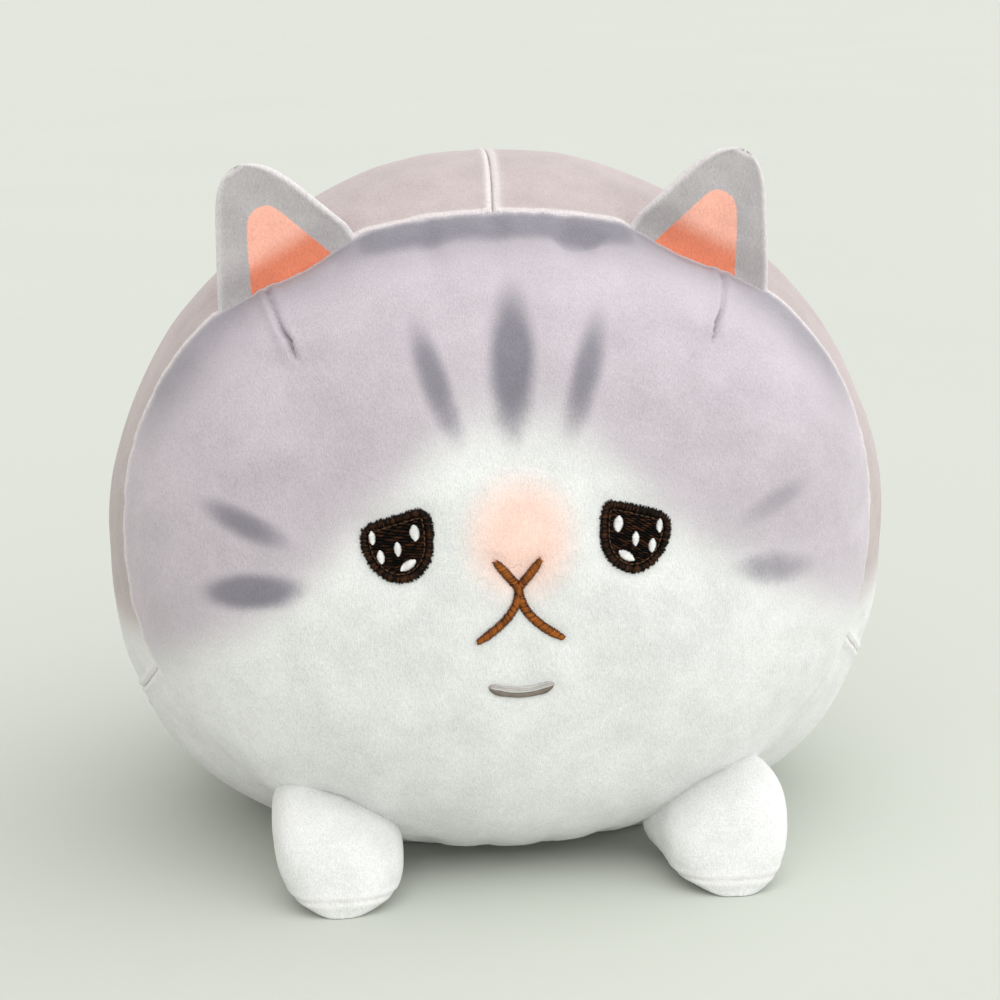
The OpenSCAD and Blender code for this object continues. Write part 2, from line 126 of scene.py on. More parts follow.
def barrel_point(s, deg):
    """A point of the barrel: s runs from 0 at the face seam to 1 at the rump seam, deg runs round it."""
    s, deg = np.broadcast_arrays(np.asarray(s, float), np.asarray(deg, float))
    cs, sn = np.cos(np.radians(deg)), np.sin(np.radians(deg))
    power = 2 / (SQUARENESS + np.where(sn < 0, SAG_SQUARENESS, -PEAK) * arch(s))
    half_w = mix(FACE_HALF_W, RUMP_HALF_W, s) + BULGE * arch(s)
    up = mix(FACE_HALF_H, RUMP_UP, s) + (BULGE + BACK_RISE + SAG) * arch(s)
    down = mix(FACE_HALF_H + FACE_DROOP, RUMP_DOWN, s) + (BULGE - SAG) * arch(s)
    low = np.maximum(0, -sn) ** 2
    x = half_w * signed_pow(cs, power) + LEAN * arch(s)
    y = mix(FACE_SEAM_Y, RUMP_SEAM_Y, s) + low * mix(-SEAM_RUN, RUMP_RUN, s)
    z = MIDDLE_Z - SAG * arch(s) + np.where(sn > 0, up, down) * signed_pow(sn, power)
    return np.stack([x, y, np.maximum(0, z)], -1)


def dome_point(s, crown_y, rho, deg):
    """A point of the face or rump: rho runs from 0 in the middle to 1 at the seam."""
    rho, deg = np.broadcast_arrays(np.asarray(rho, float), np.asarray(deg, float))
    low = np.maximum(0, -np.sin(np.radians(deg)))
    fallen = 1 - np.maximum(0, 1 - rho ** mix(2.3, 3.2, low)) ** mix(0.62, 0.55, low)
    edge = barrel_point(s, deg)
    x = edge[..., 0] * rho
    y = mix(crown_y, edge[..., 1], fallen)
    z = np.maximum(0, mix(MIDDLE_Z, edge[..., 2], rho))
    return np.stack([x, y, z], -1)


def face_point(rho, deg):
    return dome_point(0, NOSE_Y, rho, deg)


def rump_point(rho, deg):
    return dome_point(1, RUMP_Y, rho, deg)


# ---- Grids and meshes ----


def graded(first, last, coarse, fine, places, reach):
    """Values from first to last: fine steps apart at the given places, and coarse ones beyond their reach."""
    t = np.linspace(first, last, 4001)
    nearest = np.min([np.abs(t - place) for place in places], axis=0)
    step = mix(fine, coarse, smooth(nearest / reach))
    count = np.concatenate([[0], np.cumsum(np.diff(t) / step[1:])])
    return np.interp(np.linspace(0, count[-1], int(count[-1]) + 1), count, t)


def grid_faces(rows, cols, closed):
    """Quads of a grid of points. They face the way of (down the rows) x (along the columns)."""
    last = cols if closed else cols - 1
    r, c = np.meshgrid(np.arange(rows - 1), np.arange(last), indexing="ij")
    after = (c + 1) % cols
    quads = np.stack([r * cols + c, (r + 1) * cols + c, (r + 1) * cols + after, r * cols + after], -1)
    return quads.reshape(-1, 4).tolist()


def grid_normals(points, closed):
    along = np.gradient(points, axis=0)
    if closed:
        wrapped = np.concatenate([points[:, -1:], points, points[:, :1]], axis=1)
        across = wrapped[:, 2:] - wrapped[:, :-2]
    else:
        across = np.gradient(points, axis=1)
    normals = np.cross(along, across)
    return normals / np.maximum(np.linalg.norm(normals, axis=-1, keepdims=True), 1e-12)


def make_piece(name, points, faces, material):
    mesh = bpy.data.meshes.new(name)
    mesh.from_pydata(np.asarray(points).reshape(-1, 3).tolist(), [], faces)
    mesh.validate()
    mesh.polygons.foreach_set("use_smooth", [True] * len(mesh.polygons))
    mesh.materials.append(material)
    piece = bpy.data.objects.new(name, mesh)
    scene.collection.objects.link(piece)
    return piece


def paint(piece, name, values):
    """Keeps a number at each point of a piece, for its material to read."""
    layer = piece.data.attributes.new(name, "FLOAT", "POINT")
    layer.data.foreach_set("value", np.asarray(values, np.float32).ravel())


def declare_padded(piece, nodes):
    """Hides the frame nodes that a stuffed piece stands for."""
    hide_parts(*nodes)
    return piece


def fan_faces(pole, first, count, pole_after):
    """Triangles between a ring of points and a pole that comes after the ring or before it."""
    ring = [(first + k, first + (k + 1) % count) for k in range(count)]
    return [(a, pole, b) if pole_after else (pole, a, b) for a, b in ring]


def run_length(points):
    """Distance of every grid point from its column's first one, along the cloth."""
    steps = np.linalg.norm(np.diff(points, axis=0), axis=-1)
    return np.concatenate([np.zeros_like(steps[:1]), np.cumsum(steps, axis=0)])


def rough(points, size, seed=0.0):
    """Smooth noise from -1 to 1 at each point, with lumps of about the given size."""
    flat = np.asarray(points).reshape(-1, 3) / size + seed
    return np.array([noise.noise(Vector(p)) for p in flat]).reshape(np.shape(points)[:-1])


def positions(mesh):
    flat = np.empty(len(mesh.vertices) * 3)
    mesh.vertices.foreach_get("co", flat)
    return flat.reshape(-1, 3)


def point_tree(points):
    tree = KDTree(len(points))
    for k, place in enumerate(points):
        tree.insert(place, k)
    tree.balance()
    return tree


def cloth_tree(piece):
    mesh = piece.data
    return BVHTree.FromPolygons([v.co for v in mesh.vertices], [p.vertices for p in mesh.polygons])


# ---- Cloth simulation ----

SIM_FRAMES = 20


def closed_mesh(rings, first_pole, last_pole):
    """Points and faces of a closed skin over rings of points."""
    rows, cols = rings.shape[:2]
    points = np.concatenate([rings.reshape(-1, 3), [first_pole], [last_pole]])
    faces = grid_faces(rows, cols, True)
    faces += fan_faces(rows * cols, 0, cols, False)
    faces += fan_faces(rows * cols + 1, (rows - 1) * cols, cols, True)
    return points, faces


def inflated(name, points, faces, held_at, hold_reach, voxel, pressure, looseness, most):
    """Blows a closed skin up as cloth held at some points. Gives its points' rest places and moves."""
    skin = make_piece(name, points, faces, bpy.data.materials.new(name))
    remesh = skin.modifiers.new("Remesh", "REMESH")
    remesh.mode = "VOXEL"
    remesh.voxel_size = voxel
    bpy.context.view_layer.objects.active = skin
    bpy.ops.object.modifier_apply(modifier=remesh.name)

    rest = positions(skin.data)
    tree = point_tree(held_at)
    held = skin.vertex_groups.new(name="held")
    for k, place in enumerate(rest):
        weight = float(np.clip(1.4 * bump(tree.find(place)[2], hold_reach), 0, 1))
        if weight > 0.02:
            held.add([k], weight, "REPLACE")

    cloth = skin.modifiers.new("Cloth", "CLOTH")
    cloth.settings.vertex_group_mass = held.name
    cloth.settings.use_pressure = True
    cloth.settings.uniform_pressure_force = pressure
    cloth.settings.shrink_min = -looseness
    cloth.settings.effector_weights.gravity = 0
    cloth.point_cache.frame_start = 1
    cloth.point_cache.frame_end = SIM_FRAMES
    for number in range(1, SIM_FRAMES + 1):
        scene.frame_set(number)
    bpy.ops.object.modifier_apply(modifier=cloth.name)
    move = positions(skin.data) - rest
    length = np.linalg.norm(move, axis=1, keepdims=True)
    move *= np.minimum(1, most / np.maximum(length, 1e-9))
    scene.frame_set(1)
    bpy.data.objects.remove(skin)
    return rest, move


class Swelling:
    """How far a stuffed form's simulated skin has moved, at any point near that skin."""

    NEIGHBOURS = 8

    def __init__(self, *skin, **how):
        self.tree = None
        rest, self.move = inflated(*skin, **how)
        self.tree = point_tree(rest)

    def at(self, points, reach):
        """The move at each point, averaged over the skin's nearest points."""
        if self.tree is None:
            return np.zeros_like(points)
        flat = points.reshape(-1, 3)
        result = np.empty_like(flat)
        for k, place in enumerate(flat):
            near = self.tree.find_n(place, self.NEIGHBOURS)
            weight = np.array([1 / (found[2] ** 2 + reach ** 2) for found in near])
            result[k] = weight @ self.move[[found[1] for found in near]] / weight.sum()
        return result.reshape(points.shape)


# ---- Materials ----

WHITE_PILE = (0.78, 0.79, 0.785, 1)
GREY_PILE = (0.545, 0.495, 0.545, 1)
ROSE_GREY_PILE = (0.49, 0.42, 0.42, 1)
EAR_GREY_PILE = (0.48, 0.455, 0.465, 1)
# The stripes' dark, also used for painted shade below the top seam and round the ears.
MARK_AND_SHADE_PILE = (0.235, 0.222, 0.262, 1)
BLUSH_PILE = (0.97, 0.66, 0.57, 1)
EAR_PINK = (0.97, 0.49, 0.385, 1)
# Painted shade: the ear print's deeper orange towards its base, where the ear folds into the face seam.
EAR_PINK_SHADED = (0.86, 0.27, 0.16, 1)


class Nodes:
    """Short calls for building a material's nodes."""

    def __init__(self, name):
        self.material = bpy.data.materials.new(name)
        self.material.use_nodes = True
        self.tree = self.material.node_tree
        self.shader = self.tree.nodes["Principled BSDF"]
        self.place = self.add("ShaderNodeTexCoord").outputs["Object"]

    def add(self, kind, inputs=None, **settings):
        node = self.tree.nodes.new(kind)
        for key, value in settings.items():
            setattr(node, key, value)
        for key, value in (inputs or {}).items():
            self.set(node.inputs[key], value)
        return node

    def set(self, socket, value):
        if isinstance(value, bpy.types.NodeSocket):
            self.tree.links.new(value, socket)
        else:
            socket.default_value = value

    def shade(self, **inputs):
        for key, value in inputs.items():
            self.set(self.shader.inputs[key.replace("_", " ")], value)

    def stored(self, name):
        """A number that paint() has kept on the piece, and 0 where it hasn't."""
        return self.add("ShaderNodeAttribute", attribute_name=name).outputs["Fac"]

    def math(self, operation, a, b=0.0, clamp=False):
        node = self.add("ShaderNodeMath", operation=operation, use_clamp=clamp)
        self.set(node.inputs[0], a)
        self.set(node.inputs[1], b)
        return node.outputs[0]

    def noise(self, size, detail=2.0, roughness=0.5, stretch=(1, 1, 1), turn=(0, 0, 0)):
        """Noise from 0 to 1 with grains of about the given size, drawn out along the turned axes."""
        mapping = self.add("ShaderNodeMapping", {"Vector": self.place, "Scale": stretch, "Rotation": turn})
        inputs = {"Vector": mapping.outputs[0], "Scale": 1 / size, "Detail": detail, "Roughness": roughness}
        return self.add("ShaderNodeTexNoise", inputs).outputs["Fac"]

    def ramp(self, value, low, high, to_low=0.0, to_high=1.0):
        """Turns low..high into to_low..to_high, with an even curve between."""
        inputs = {"Value": value, "From Min": low, "From Max": high, "To Min": to_low, "To Max": to_high}
        return self.add("ShaderNodeMapRange", inputs, interpolation_type="SMOOTHSTEP").outputs["Result"]

    def blend(self, share, a, b, kind="MIX"):
        node = self.add("ShaderNodeMix", data_type="RGBA", blend_type=kind)
        self.set(node.inputs["Factor"], share)
        self.set(node.inputs[6], a)
        self.set(node.inputs[7], b)
        return node.outputs[2]

    def tone(self, colour, value):
        """The colour, darker or lighter by value, where 1 leaves it as it is."""
        grey = self.add("ShaderNodeCombineColor", {"Red": value, "Green": value, "Blue": value})
        return self.blend(1.0, colour, grey.outputs[0], "MULTIPLY")

    def bump(self, height, distance, strength=1.0, under=None):
        node = self.add("ShaderNodeBump", {"Height": height, "Distance": distance, "Strength": strength})
        if under is not None:
            self.set(node.inputs["Normal"], under)
        return node.outputs[0]


NAP_TURN = (0.0, math.radians(38), 0.0)
PRINT_REACH = 5 * MM        # "pink" holds the distance inside the print's edge, plus this


def plush(name, grey_pile):
    """Short velvety pile. Painted numbers say where it is grey, marked, blushing, pink or parted.
    Some of the marking is painted shade, the pink darkens towards the ear's base as painted shade,
    and the lighter line along seams and ear rims is partly parted pile and partly a painted highlight.
    """
    n = Nodes(name)
    grain = n.noise(0.55 * MM, 3.0, 0.7)
    nap = n.noise(1.3 * MM, 2.0, 0.6, stretch=(2.6, 1.5, 0.8), turn=NAP_TURN)
    brushed = n.noise(11 * MM, 3.0, 0.6)
    cloudy = n.noise(38 * MM, 2.0, 0.5)

    feather = n.math("MULTIPLY", n.math("SUBTRACT", nap, 0.5), 0.30)
    cloud = n.math("MULTIPLY", n.math("SUBTRACT", brushed, 0.5), 0.35)

    def dyed_and_shaded(name, share=1.0):
        """A painted dye with a feathered, slightly uneven edge; in places the painted number also holds
        painted shade.
        """
        field = n.math("ADD", n.math("ADD", n.stored(name), feather), cloud)
        return n.math("MULTIPLY", n.ramp(field, 0.12, 0.88), share)

    colour = n.blend(dyed_and_shaded("grey"), WHITE_PILE, grey_pile)
    colour = n.blend(n.math("MULTIPLY", n.ramp(n.math("ADD", n.stored("blush"), feather), 0.05, 1.0), 0.95),
                     colour, BLUSH_PILE)
    colour = n.blend(dyed_and_shaded("mark"), colour, MARK_AND_SHADE_PILE)

    edge = n.math("ADD", n.stored("pink"), n.math("MULTIPLY", n.math("SUBTRACT", grain, 0.5), 0.0008))
    # The print's pink, darkened towards the ear's base by painted shade.
    pink = n.blend(n.ramp(n.stored("deep"), 0.0, 1.0), EAR_PINK, EAR_PINK_SHADED)
    colour = n.blend(n.ramp(edge, PRINT_REACH - 0.25 * MM, PRINT_REACH + 0.25 * MM), colour, pink)

    tone = n.math("ADD", n.ramp(grain, 0.25, 0.75, -0.09, 0.09), n.ramp(nap, 0.3, 0.7, 0.95, 1.05))
    tone = n.math("ADD", tone, n.ramp(cloudy, 0.3, 0.7, -0.045, 0.045))
    tone = n.math("ADD", tone, n.ramp(brushed, 0.3, 0.7, -0.04, 0.04))
    colour = n.tone(colour, tone)
    # Partly a painted highlight: the pale colour along seams and ear rims is parted pile and also the light
    # that seam lips and rims catch.
    parted_and_lit = n.math("MULTIPLY", n.stored("parted_and_lit"), n.ramp(nap, 0.3, 0.7, 0.6, 1.0))
    colour = n.blend(n.math("MULTIPLY", parted_and_lit, 0.7), colour, (0.90, 0.86, 0.87, 1))

    relief = n.math("ADD", n.math("MULTIPLY", grain, 0.55), n.math("MULTIPLY", nap, 0.8))
    normal = n.bump(relief, 0.55 * MM, 0.55, n.bump(brushed, 1.2 * MM, 0.35))
    n.shade(Base_Color=colour, Roughness=0.92, Normal=normal)
    n.shade(Sheen_Weight=0.30, Sheen_Roughness=0.45, Sheen_Tint=(1, 0.98, 0.98, 1))
    n.shader.inputs["Specular IOR Level"].default_value = 0.12
    return n.material


def thread(name, dark, light, gloss=0.42, shine=0.35, light_from=0.15):
    """Embroidery thread: each strand has its own tone, fine twist lines and a soft shine.
    Each strand is also painted lighter along its middle and darker at its ends, a painted highlight and
    shade.
    """
    n = Nodes(name)
    twisted = n.noise(0.35 * MM, 2.0, 0.6, stretch=(1.0, 1.0, 2.2), turn=(0.0, 0.7, 0.0))
    worn = n.noise(2.4 * MM, 2.0)
    share = n.math("ADD", n.math("MULTIPLY", n.stored("strand_tone_and_shade"), 0.55), n.math("MULTIPLY", twisted, 0.45))
    colour = n.blend(n.ramp(share, light_from, 0.85), dark, light)
    colour = n.tone(colour, n.ramp(worn, 0.3, 0.7, 0.9, 1.1))
    n.shade(Base_Color=colour, Roughness=n.ramp(twisted, 0.2, 0.8, gloss - 0.08, gloss + 0.12))
    n.shade(Normal=n.bump(twisted, 0.12 * MM, 0.6))
    n.shader.inputs["Specular IOR Level"].default_value = shine
    return n.material


def fibres(name, colour, size, lift):
    """Tangled polyester fill, or the felted sheet behind the embroidery."""
    n = Nodes(name)
    tangle = n.noise(size, 5.0, 0.75, stretch=(1.0, 2.5, 1.4))
    n.shade(Base_Color=n.tone(colour, n.ramp(tangle, 0.2, 0.8, 0.86, 1.06)), Roughness=0.95)
    n.shade(Normal=n.bump(tangle, lift, 0.7), Sheen_Weight=0.2)
    return n.material


face_plush = plush("face_plush", GREY_PILE)
ear_plush = plush("ear_plush", EAR_GREY_PILE)
body_plush = plush("body_plush", ROSE_GREY_PILE)
# Painted highlight: the light brown stands for glints, which only the lightest strands take.
brown_thread = thread("brown_thread", (0.0012, 0.0006, 0.0003, 1), (0.085, 0.030, 0.010, 1), 0.36, 0.10, 0.52)
brown_line_thread = thread("brown_line_thread", (0.018, 0.007, 0.003, 1), (0.10, 0.042, 0.016, 1), 0.38)
white_thread = thread("white_thread", (0.74, 0.74, 0.73, 1), (0.90, 0.90, 0.90, 1), 0.34)
# Painted shade and highlight: the near-black sides and bright orange middle of the nose stitches.
rust_thread = thread("rust_thread", (0.035, 0.006, 0.0006, 1), (0.47, 0.135, 0.010, 1), 0.38, 0.22, 0.3)
taupe_thread = thread("taupe_thread", (0.11, 0.085, 0.07, 1), (0.28, 0.235, 0.20, 1), 0.36)
# Painted highlight: a lit, silvery copy of the taupe thread, for the mouth's upper rows.
lit_taupe_thread = thread("lit_taupe_thread", (0.38, 0.36, 0.34, 1), (0.66, 0.65, 0.62, 1), 0.30)
seam_thread = thread("seam_thread", (0.62, 0.62, 0.62, 1), (0.86, 0.86, 0.87, 1), 0.45)
fibre_fill = fibres("fibre_fill", (0.87, 0.87, 0.84, 1), 2.5 * MM, 1.2 * MM)
backing_felt = fibres("backing_felt", (0.80, 0.80, 0.79, 1), 0.8 * MM, 0.2 * MM)

# ---- The swollen body ----


class EarFrame:
    """An ear's own axes: x inwards along its fold line, z up the ear, and y backwards."""

    def __init__(self, side):
        joint = joints["left_ear_fold" if side < 0 else "right_ear_fold"]
        self.origin = np.array(joint["pos_m"])
        axis = np.array(joint["axis"])
        axis = axis / np.linalg.norm(axis)
        self.inward = axis * -side
        self.back = np.array([0.0, 1.0, 0.0])
        self.up = np.cross(axis, self.back)

    def world(self, x, y, z):
        return self.origin + x[..., None] * self.inward + y[..., None] * self.back + z[..., None] * self.up


def body_skin(shrunk):
    """The whole body as one closed skin, a little smaller than the real one."""
    deg = np.arange(0, 360, 2.0)
    theta = np.radians(np.arange(6, 90, 4.0))[:, None]
    face = face_point(np.sin(theta), deg)
    barrel = barrel_point(np.linspace(0, 1, 28)[:, None], deg)
    rump = rump_point(np.sin(theta[::-1]), deg)
    rings = np.concatenate([face, barrel, rump])
    rings = rings - grid_normals(rings, True) * shrunk
    return closed_mesh(rings, (0, NOSE_Y + shrunk, MIDDLE_Z), (0, RUMP_Y - shrunk, MIDDLE_Z))


def sewn_lines():
    """Points along everything that holds the body's cloth down: seams, darts and embroidery."""
    round_deg = np.arange(0, 360, 1.0)
    along = np.linspace(0, 1, 70)
    lines = [barrel_point(0, round_deg), barrel_point(1, round_deg)]
    lines += [barrel_point(along, deg) for deg in (90, SIDE_SEAM_DEG, LEFT_SEAM_DEG)]
    for side in (0, 1):
        deg = np.linspace(53, 49, 12)
        lines.append(face_point(np.linspace(0.985, 0.78, 12), 180 - deg if side else deg))
    return np.concatenate(lines)


body_swelling = Swelling("body_skin", *body_skin(1.5 * MM), held_at=sewn_lines(), hold_reach=3.5 * MM,
                         voxel=4 * MM, pressure=4.0, looseness=0.03, most=5 * MM)

SWELLING_TAKEN_OFF = 0.7    # share taken off again, so that the body keeps the frame's size
SEAM_VALLEY = 0.4 * MM
SEAM_LIP = 0.75 * MM
STITCH_PITCH = 3.1 * MM
TUCK = 3 * MM


def seam_relief(distance):
    """How far the cloth stands out near a seam: a narrow valley beside a soft lip."""
    return SEAM_LIP * bump(distance - 1.5 * MM, 1.2 * MM) - SEAM_VALLEY * bump(distance, 0.7 * MM)


def gathers(edge, distance):
    """The small puckers that stitches leave along a sewn edge, fading away from it."""
    run = run_length(edge[:, None])[:, 0]
    stitch = np.cos(2 * math.pi * run / STITCH_PITCH)
    uneven = rough(edge, 5 * MM) + 0.6 * rough(edge, 2.2 * MM, 7.0)
    return (0.14 * MM * stitch * bump(distance, 1.8 * MM)
            + 0.55 * MM * uneven * np.exp(-distance / (5 * MM)) * smooth(distance / (1.2 * MM)))


def lumpy(points, hold):
    """The stuffing's own soft unevenness, which the seams hold down."""
    return hold * (1.1 * MM * rough(points, 42 * MM) + 0.22 * MM * rough(points, 13 * MM, 3.0))


def path_distance(x, z, path):
    """Distance in the face's plane from each (x, z) to a bent line, and how far along it from 0 to 1."""
    best = np.full(np.shape(x), np.inf)
    share = np.zeros(np.shape(x))
    count = len(path) - 1
    for k, ((ax, az), (bx, bz)) in enumerate(zip(path, path[1:])):
        dx, dz = bx - ax, bz - az
        t = np.clip(((x - ax) * dx + (z - az) * dz) / (dx * dx + dz * dz), 0, 1)
        gap = np.hypot(x - ax - t * dx, z - az - t * dz)
        nearer = gap < best
        best = np.where(nearer, gap, best)
        share = np.where(nearer, (k + t) / count, share)
    return best, share


# ---- Places of the embroidery, fitted to the frame ----


def into_box(shape, node, inset):
    """A flat shape of (x, z) points, stretched to fill a node's box as seen from the front, less an inset."""
    lo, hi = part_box(node)
    lo, hi = np.array([lo.x, lo.z]) + inset, np.array([hi.x, hi.z]) - inset
    low, high = shape.min(0), shape.max(0)
    return lo + (shape - low) / (high - low) * (hi - lo)


EYE_SLANT = math.radians(17)


def eye_outline(side):
    """A droopy half-round: its flat top slants down to its outer end. Only its proportions count."""
    bottom = np.radians(np.arange(180, 361, 5))
    top = np.radians(np.arange(12, 169, 6))
    x = np.concatenate([12 * np.cos(bottom), 12 * signed_pow(np.cos(top), 0.35)])
    z = np.concatenate([14 * np.sin(bottom), 8 * np.sin(top) ** 0.6])
    shape = np.stack([x * math.cos(EYE_SLANT) + z * math.sin(EYE_SLANT) * 0.4,
                      z - x * math.sin(EYE_SLANT) * np.where(z > 0, 1, 0.35)], -1)
    shape[:, 0] *= side
    return into_box(shape, "right_eye_border" if side > 0 else "left_eye_border", 0.0)


def nose_line(side):
    """One nose stitch: straight down to the crossing, then flaring out. Only its proportions count."""
    up = np.linspace(1, 0.1, 10)
    down = np.linspace(0, 1, 22)
    x = np.concatenate([-7.6 * up, 14.2 * down ** 2.2])
    z = np.concatenate([9.4 * up, -17.4 * down])
    node = "nose_stitch_falling" if side > 0 else "nose_stitch_rising"
    return into_box(np.stack([side * x, z], -1), node, 1.5 * MM)


def mouth_line():
    x = np.linspace(-1, 1, 40)
    return into_box(np.stack([x, x * x], -1), "mouth_stitch", 1.1 * MM)


def inside(x, z, outline):
    """Which points lie inside a closed outline."""
    found = np.zeros(np.shape(x), bool)
    for (ax, az), (bx, bz) in zip(outline, np.roll(outline, -1, axis=0)):
        crosses = (az > z) != (bz > z)
        found ^= crosses & (x < ax + (bx - ax) * (z - az) / (bz - az + 1e-15))
    return found


eyes = {side: eye_outline(side) for side in (-1, 1)}
nose_lines = {side: nose_line(side) for side in (-1, 1)}
mouth = mouth_line()

# A dart's crooked line, from the seam down the right side of the face, as (x, z) in millimetres.
DART_LINE = ((76, 196.5), (72, 189), (70.2, 184), (68, 181), (67.6, 178), (66, 174))
DART_CREASE = 3.2 * MM
DART_LIP = 0.7 * MM
DART_PUFF = 1.2 * MM
EYE_DENT = 0.9 * MM
NOSE_DENT = 0.8 * MM
MOUTH_DENT = 0.7 * MM
dart_paths = {side: [(side * x * MM, z * MM) for x, z in DART_LINE] for side in (-1, 1)}


def face_relief(x, z):
    """The darts' creases, and the dents that the embroidery's tight stitches pull."""
    height = np.zeros(np.shape(x))
    for side in (-1, 1):
        gap, share = path_distance(x, z, dart_paths[side])
        strength = smooth((1 - share) / 0.3)
        height -= DART_CREASE * bump(gap, 0.6 * MM) * mix(0.25, 1, smooth((share - 0.2) / 0.4)) * strength
        height += DART_LIP * bump(gap - 2.2 * MM, 1.5 * MM) * strength
        height += DART_PUFF * bump(gap, 11 * MM) * strength
        outline = np.vstack([eyes[side], eyes[side][:1]])
        gap = np.where(inside(x, z, eyes[side]), 0, path_distance(x, z, outline)[0])
        height -= EYE_DENT * bump(gap, 2.4 * MM) + EYE_DENT / 2.25 * bump(gap, 7 * MM)
        height -= NOSE_DENT * bump(path_distance(x, z, nose_lines[side])[0], 2.6 * MM)
    height -= MOUTH_DENT * bump(path_distance(x, z, mouth)[0], 2.6 * MM)
    return height


# ---- Dye and painted shade on the face ----

# Stripes: (x, z) of their two ends, half width and strength. The outer ones appear on both sides.
MIDDLE_STRIPE = ((2.2, 196), (-0.6, 151), 7.6, 0.98)
PAIRED_STRIPES = (
    ((29.5, 188), (17, 149), 5.4, 0.76),
    ((98, 131), (70, 118.5), 5.2, 0.80),
    ((99, 102), (66.5, 105.5), 6.2, 0.98),
)


def stripe(x, z, first, last, half_width, strength):
    """A leaf-shaped stripe with soft edges."""
    ax, az, bx, bz = (value * MM for value in (*first, *last))
    length = math.hypot(bx - ax, bz - az)
    t = ((x - ax) * (bx - ax) + (z - az) * (bz - az)) / length ** 2
    across = ((x - ax) * (bz - az) - (z - az) * (bx - ax)) / length
    reach = np.hypot(2 * t - 1, across / (half_width * MM))
    return strength * smooth((1.55 - reach) / 1.35)


RIGHT_CHEEK_LIT_SHARE = 0.6     # painted light: how strong the cheek stripes are on the right, where the key light falls, against the left


def face_marks_and_shade(x, z, seam_distance):
    mark = stripe(x, z, *MIDDLE_STRIPE)
    for (ax, az), (bx, bz), half_width, strength in PAIRED_STRIPES:
        for side in (-1, 1):
            on_lit_cheek = side > 0 and az < 150
            share = strength * RIGHT_CHEEK_LIT_SHARE if on_lit_cheek else strength
            mark = np.maximum(mark, stripe(x, z, (side * ax, az), (side * bx, bz), half_width, share))
    between_ears = smooth((58 * MM - np.abs(x)) / (20 * MM)) * smooth((z - 0.19) / (10 * MM))
    band = between_ears * mix(1.0, 0.0, smooth((seam_distance - 8 * MM) / (22 * MM)))
    # Painted shade: a soft darkening below the top seam and round the ears' bases.
    shaded = 0.66 * smooth((46 * MM - seam_distance) / (44 * MM)) * smooth((z - 0.125) / (45 * MM))
    return np.maximum(np.maximum(mark, band), shaded)


# The white muzzle's edge, in millimetres: its height and how softly it fades, by distance from the middle.
MUZZLE_EDGE = ((0, 151), (12, 150), (24, 143), (40, 126), (58, 110), (85, 93), (125, 70))
MUZZLE_SOFTNESS = ((0, 16), (30, 19), (60, 18), (125, 20))
LEFT_CHEEK_SHADE_DROP = 7 * MM    # painted shade: the grey reaches this much lower on the left cheek, the side away from the key light
FIRST_GREY = 0.58           # share of the grey that comes at the edge; the rest deepens above it
DEEPENING = 46 * MM
BLUSH_MIDDLE = (1 * MM, 120 * MM)
BLUSH_HALF_SIZE = (26 * MM, 30 * MM)


def between(width, table):
    """A value read off a table of (distance, value) pairs."""
    distances, values = zip(*table)
    return np.interp(width, distances, values)


def face_grey(x, z):
    """Grey over the white muzzle, whose edge peaks between the eyes and falls away to the cheeks.
    On the left cheek the grey reaches lower, a painted shade on the side away from the key light.
    """
    width = np.abs(x) / MM
    edge = between(width, MUZZLE_EDGE) * MM
    edge -= np.where(x < 0, LEFT_CHEEK_SHADE_DROP, 0) * smooth((width - 50) / 30)
    softness = between(width, MUZZLE_SOFTNESS) * MM
    first = smooth((z - edge) / softness / 2 + 0.5)
    return mix(smooth((z - edge + 4 * MM) / DEEPENING), first, FIRST_GREY)


def face_blush(x, z):
    reach = np.hypot((x - BLUSH_MIDDLE[0]) / BLUSH_HALF_SIZE[0], (z - BLUSH_MIDDLE[1]) / BLUSH_HALF_SIZE[1])
    return smooth((1.0 - reach) / 0.88)


# ---- Body panels ----


def with_tucks(points, normals, sides):
    """Adds a row or column that turns inwards at each sewn side, so that no gap opens along a seam."""
    def tucked(edge, normal):
        return edge - normal * TUCK

    if "first_row" in sides:
        points = np.concatenate([tucked(points[:1], normals[:1]), points])
        normals = np.concatenate([normals[:1], normals])
    if "last_row" in sides:
        points = np.concatenate([points, tucked(points[-1:], normals[-1:])])
        normals = np.concatenate([normals, normals[-1:]])
    if "columns" in sides:
        points = np.concatenate([tucked(points[:, :1], normals[:, :1]), points,
                                 tucked(points[:, -1:], normals[:, -1:])], axis=1)
    return points


def padded_like(values, sides):
    """Repeats a grid of numbers at its edges in the way with_tucks does."""
    rows = (int("first_row" in sides), int("last_row" in sides))
    cols = (1, 1) if "columns" in sides else (0, 0)
    return np.pad(values, (rows, cols), mode="edge")


def from_axis(points):
    """The way straight out from the body's long axis, which two panels share where they are sewn together."""
    outward = (points - (0, 0, MIDDLE_Z)) * (1, 0, 1)
    return outward / np.maximum(np.linalg.norm(outward, axis=-1, keepdims=True), 1e-9)


EAR_PULL = 5.5 * MM


def ear_pull(points):
    """How far the ears' straight bases flatten the rounding of the face seam that they are sewn into."""
    pull = np.zeros(points.shape)
    for side in (-1, 1):
        ear = EarFrame(side)
        from_base = points - ear.origin
        along = from_base @ ear.inward
        beside = np.linalg.norm(from_base - along[..., None] * ear.inward, axis=-1)
        depth = np.clip(1 - (along / (30 * MM)) ** 2, 0, 1) ** 1.5 * bump(beside, 15 * MM)
        pull += EAR_PULL * depth[..., None] * ear.up
    return pull


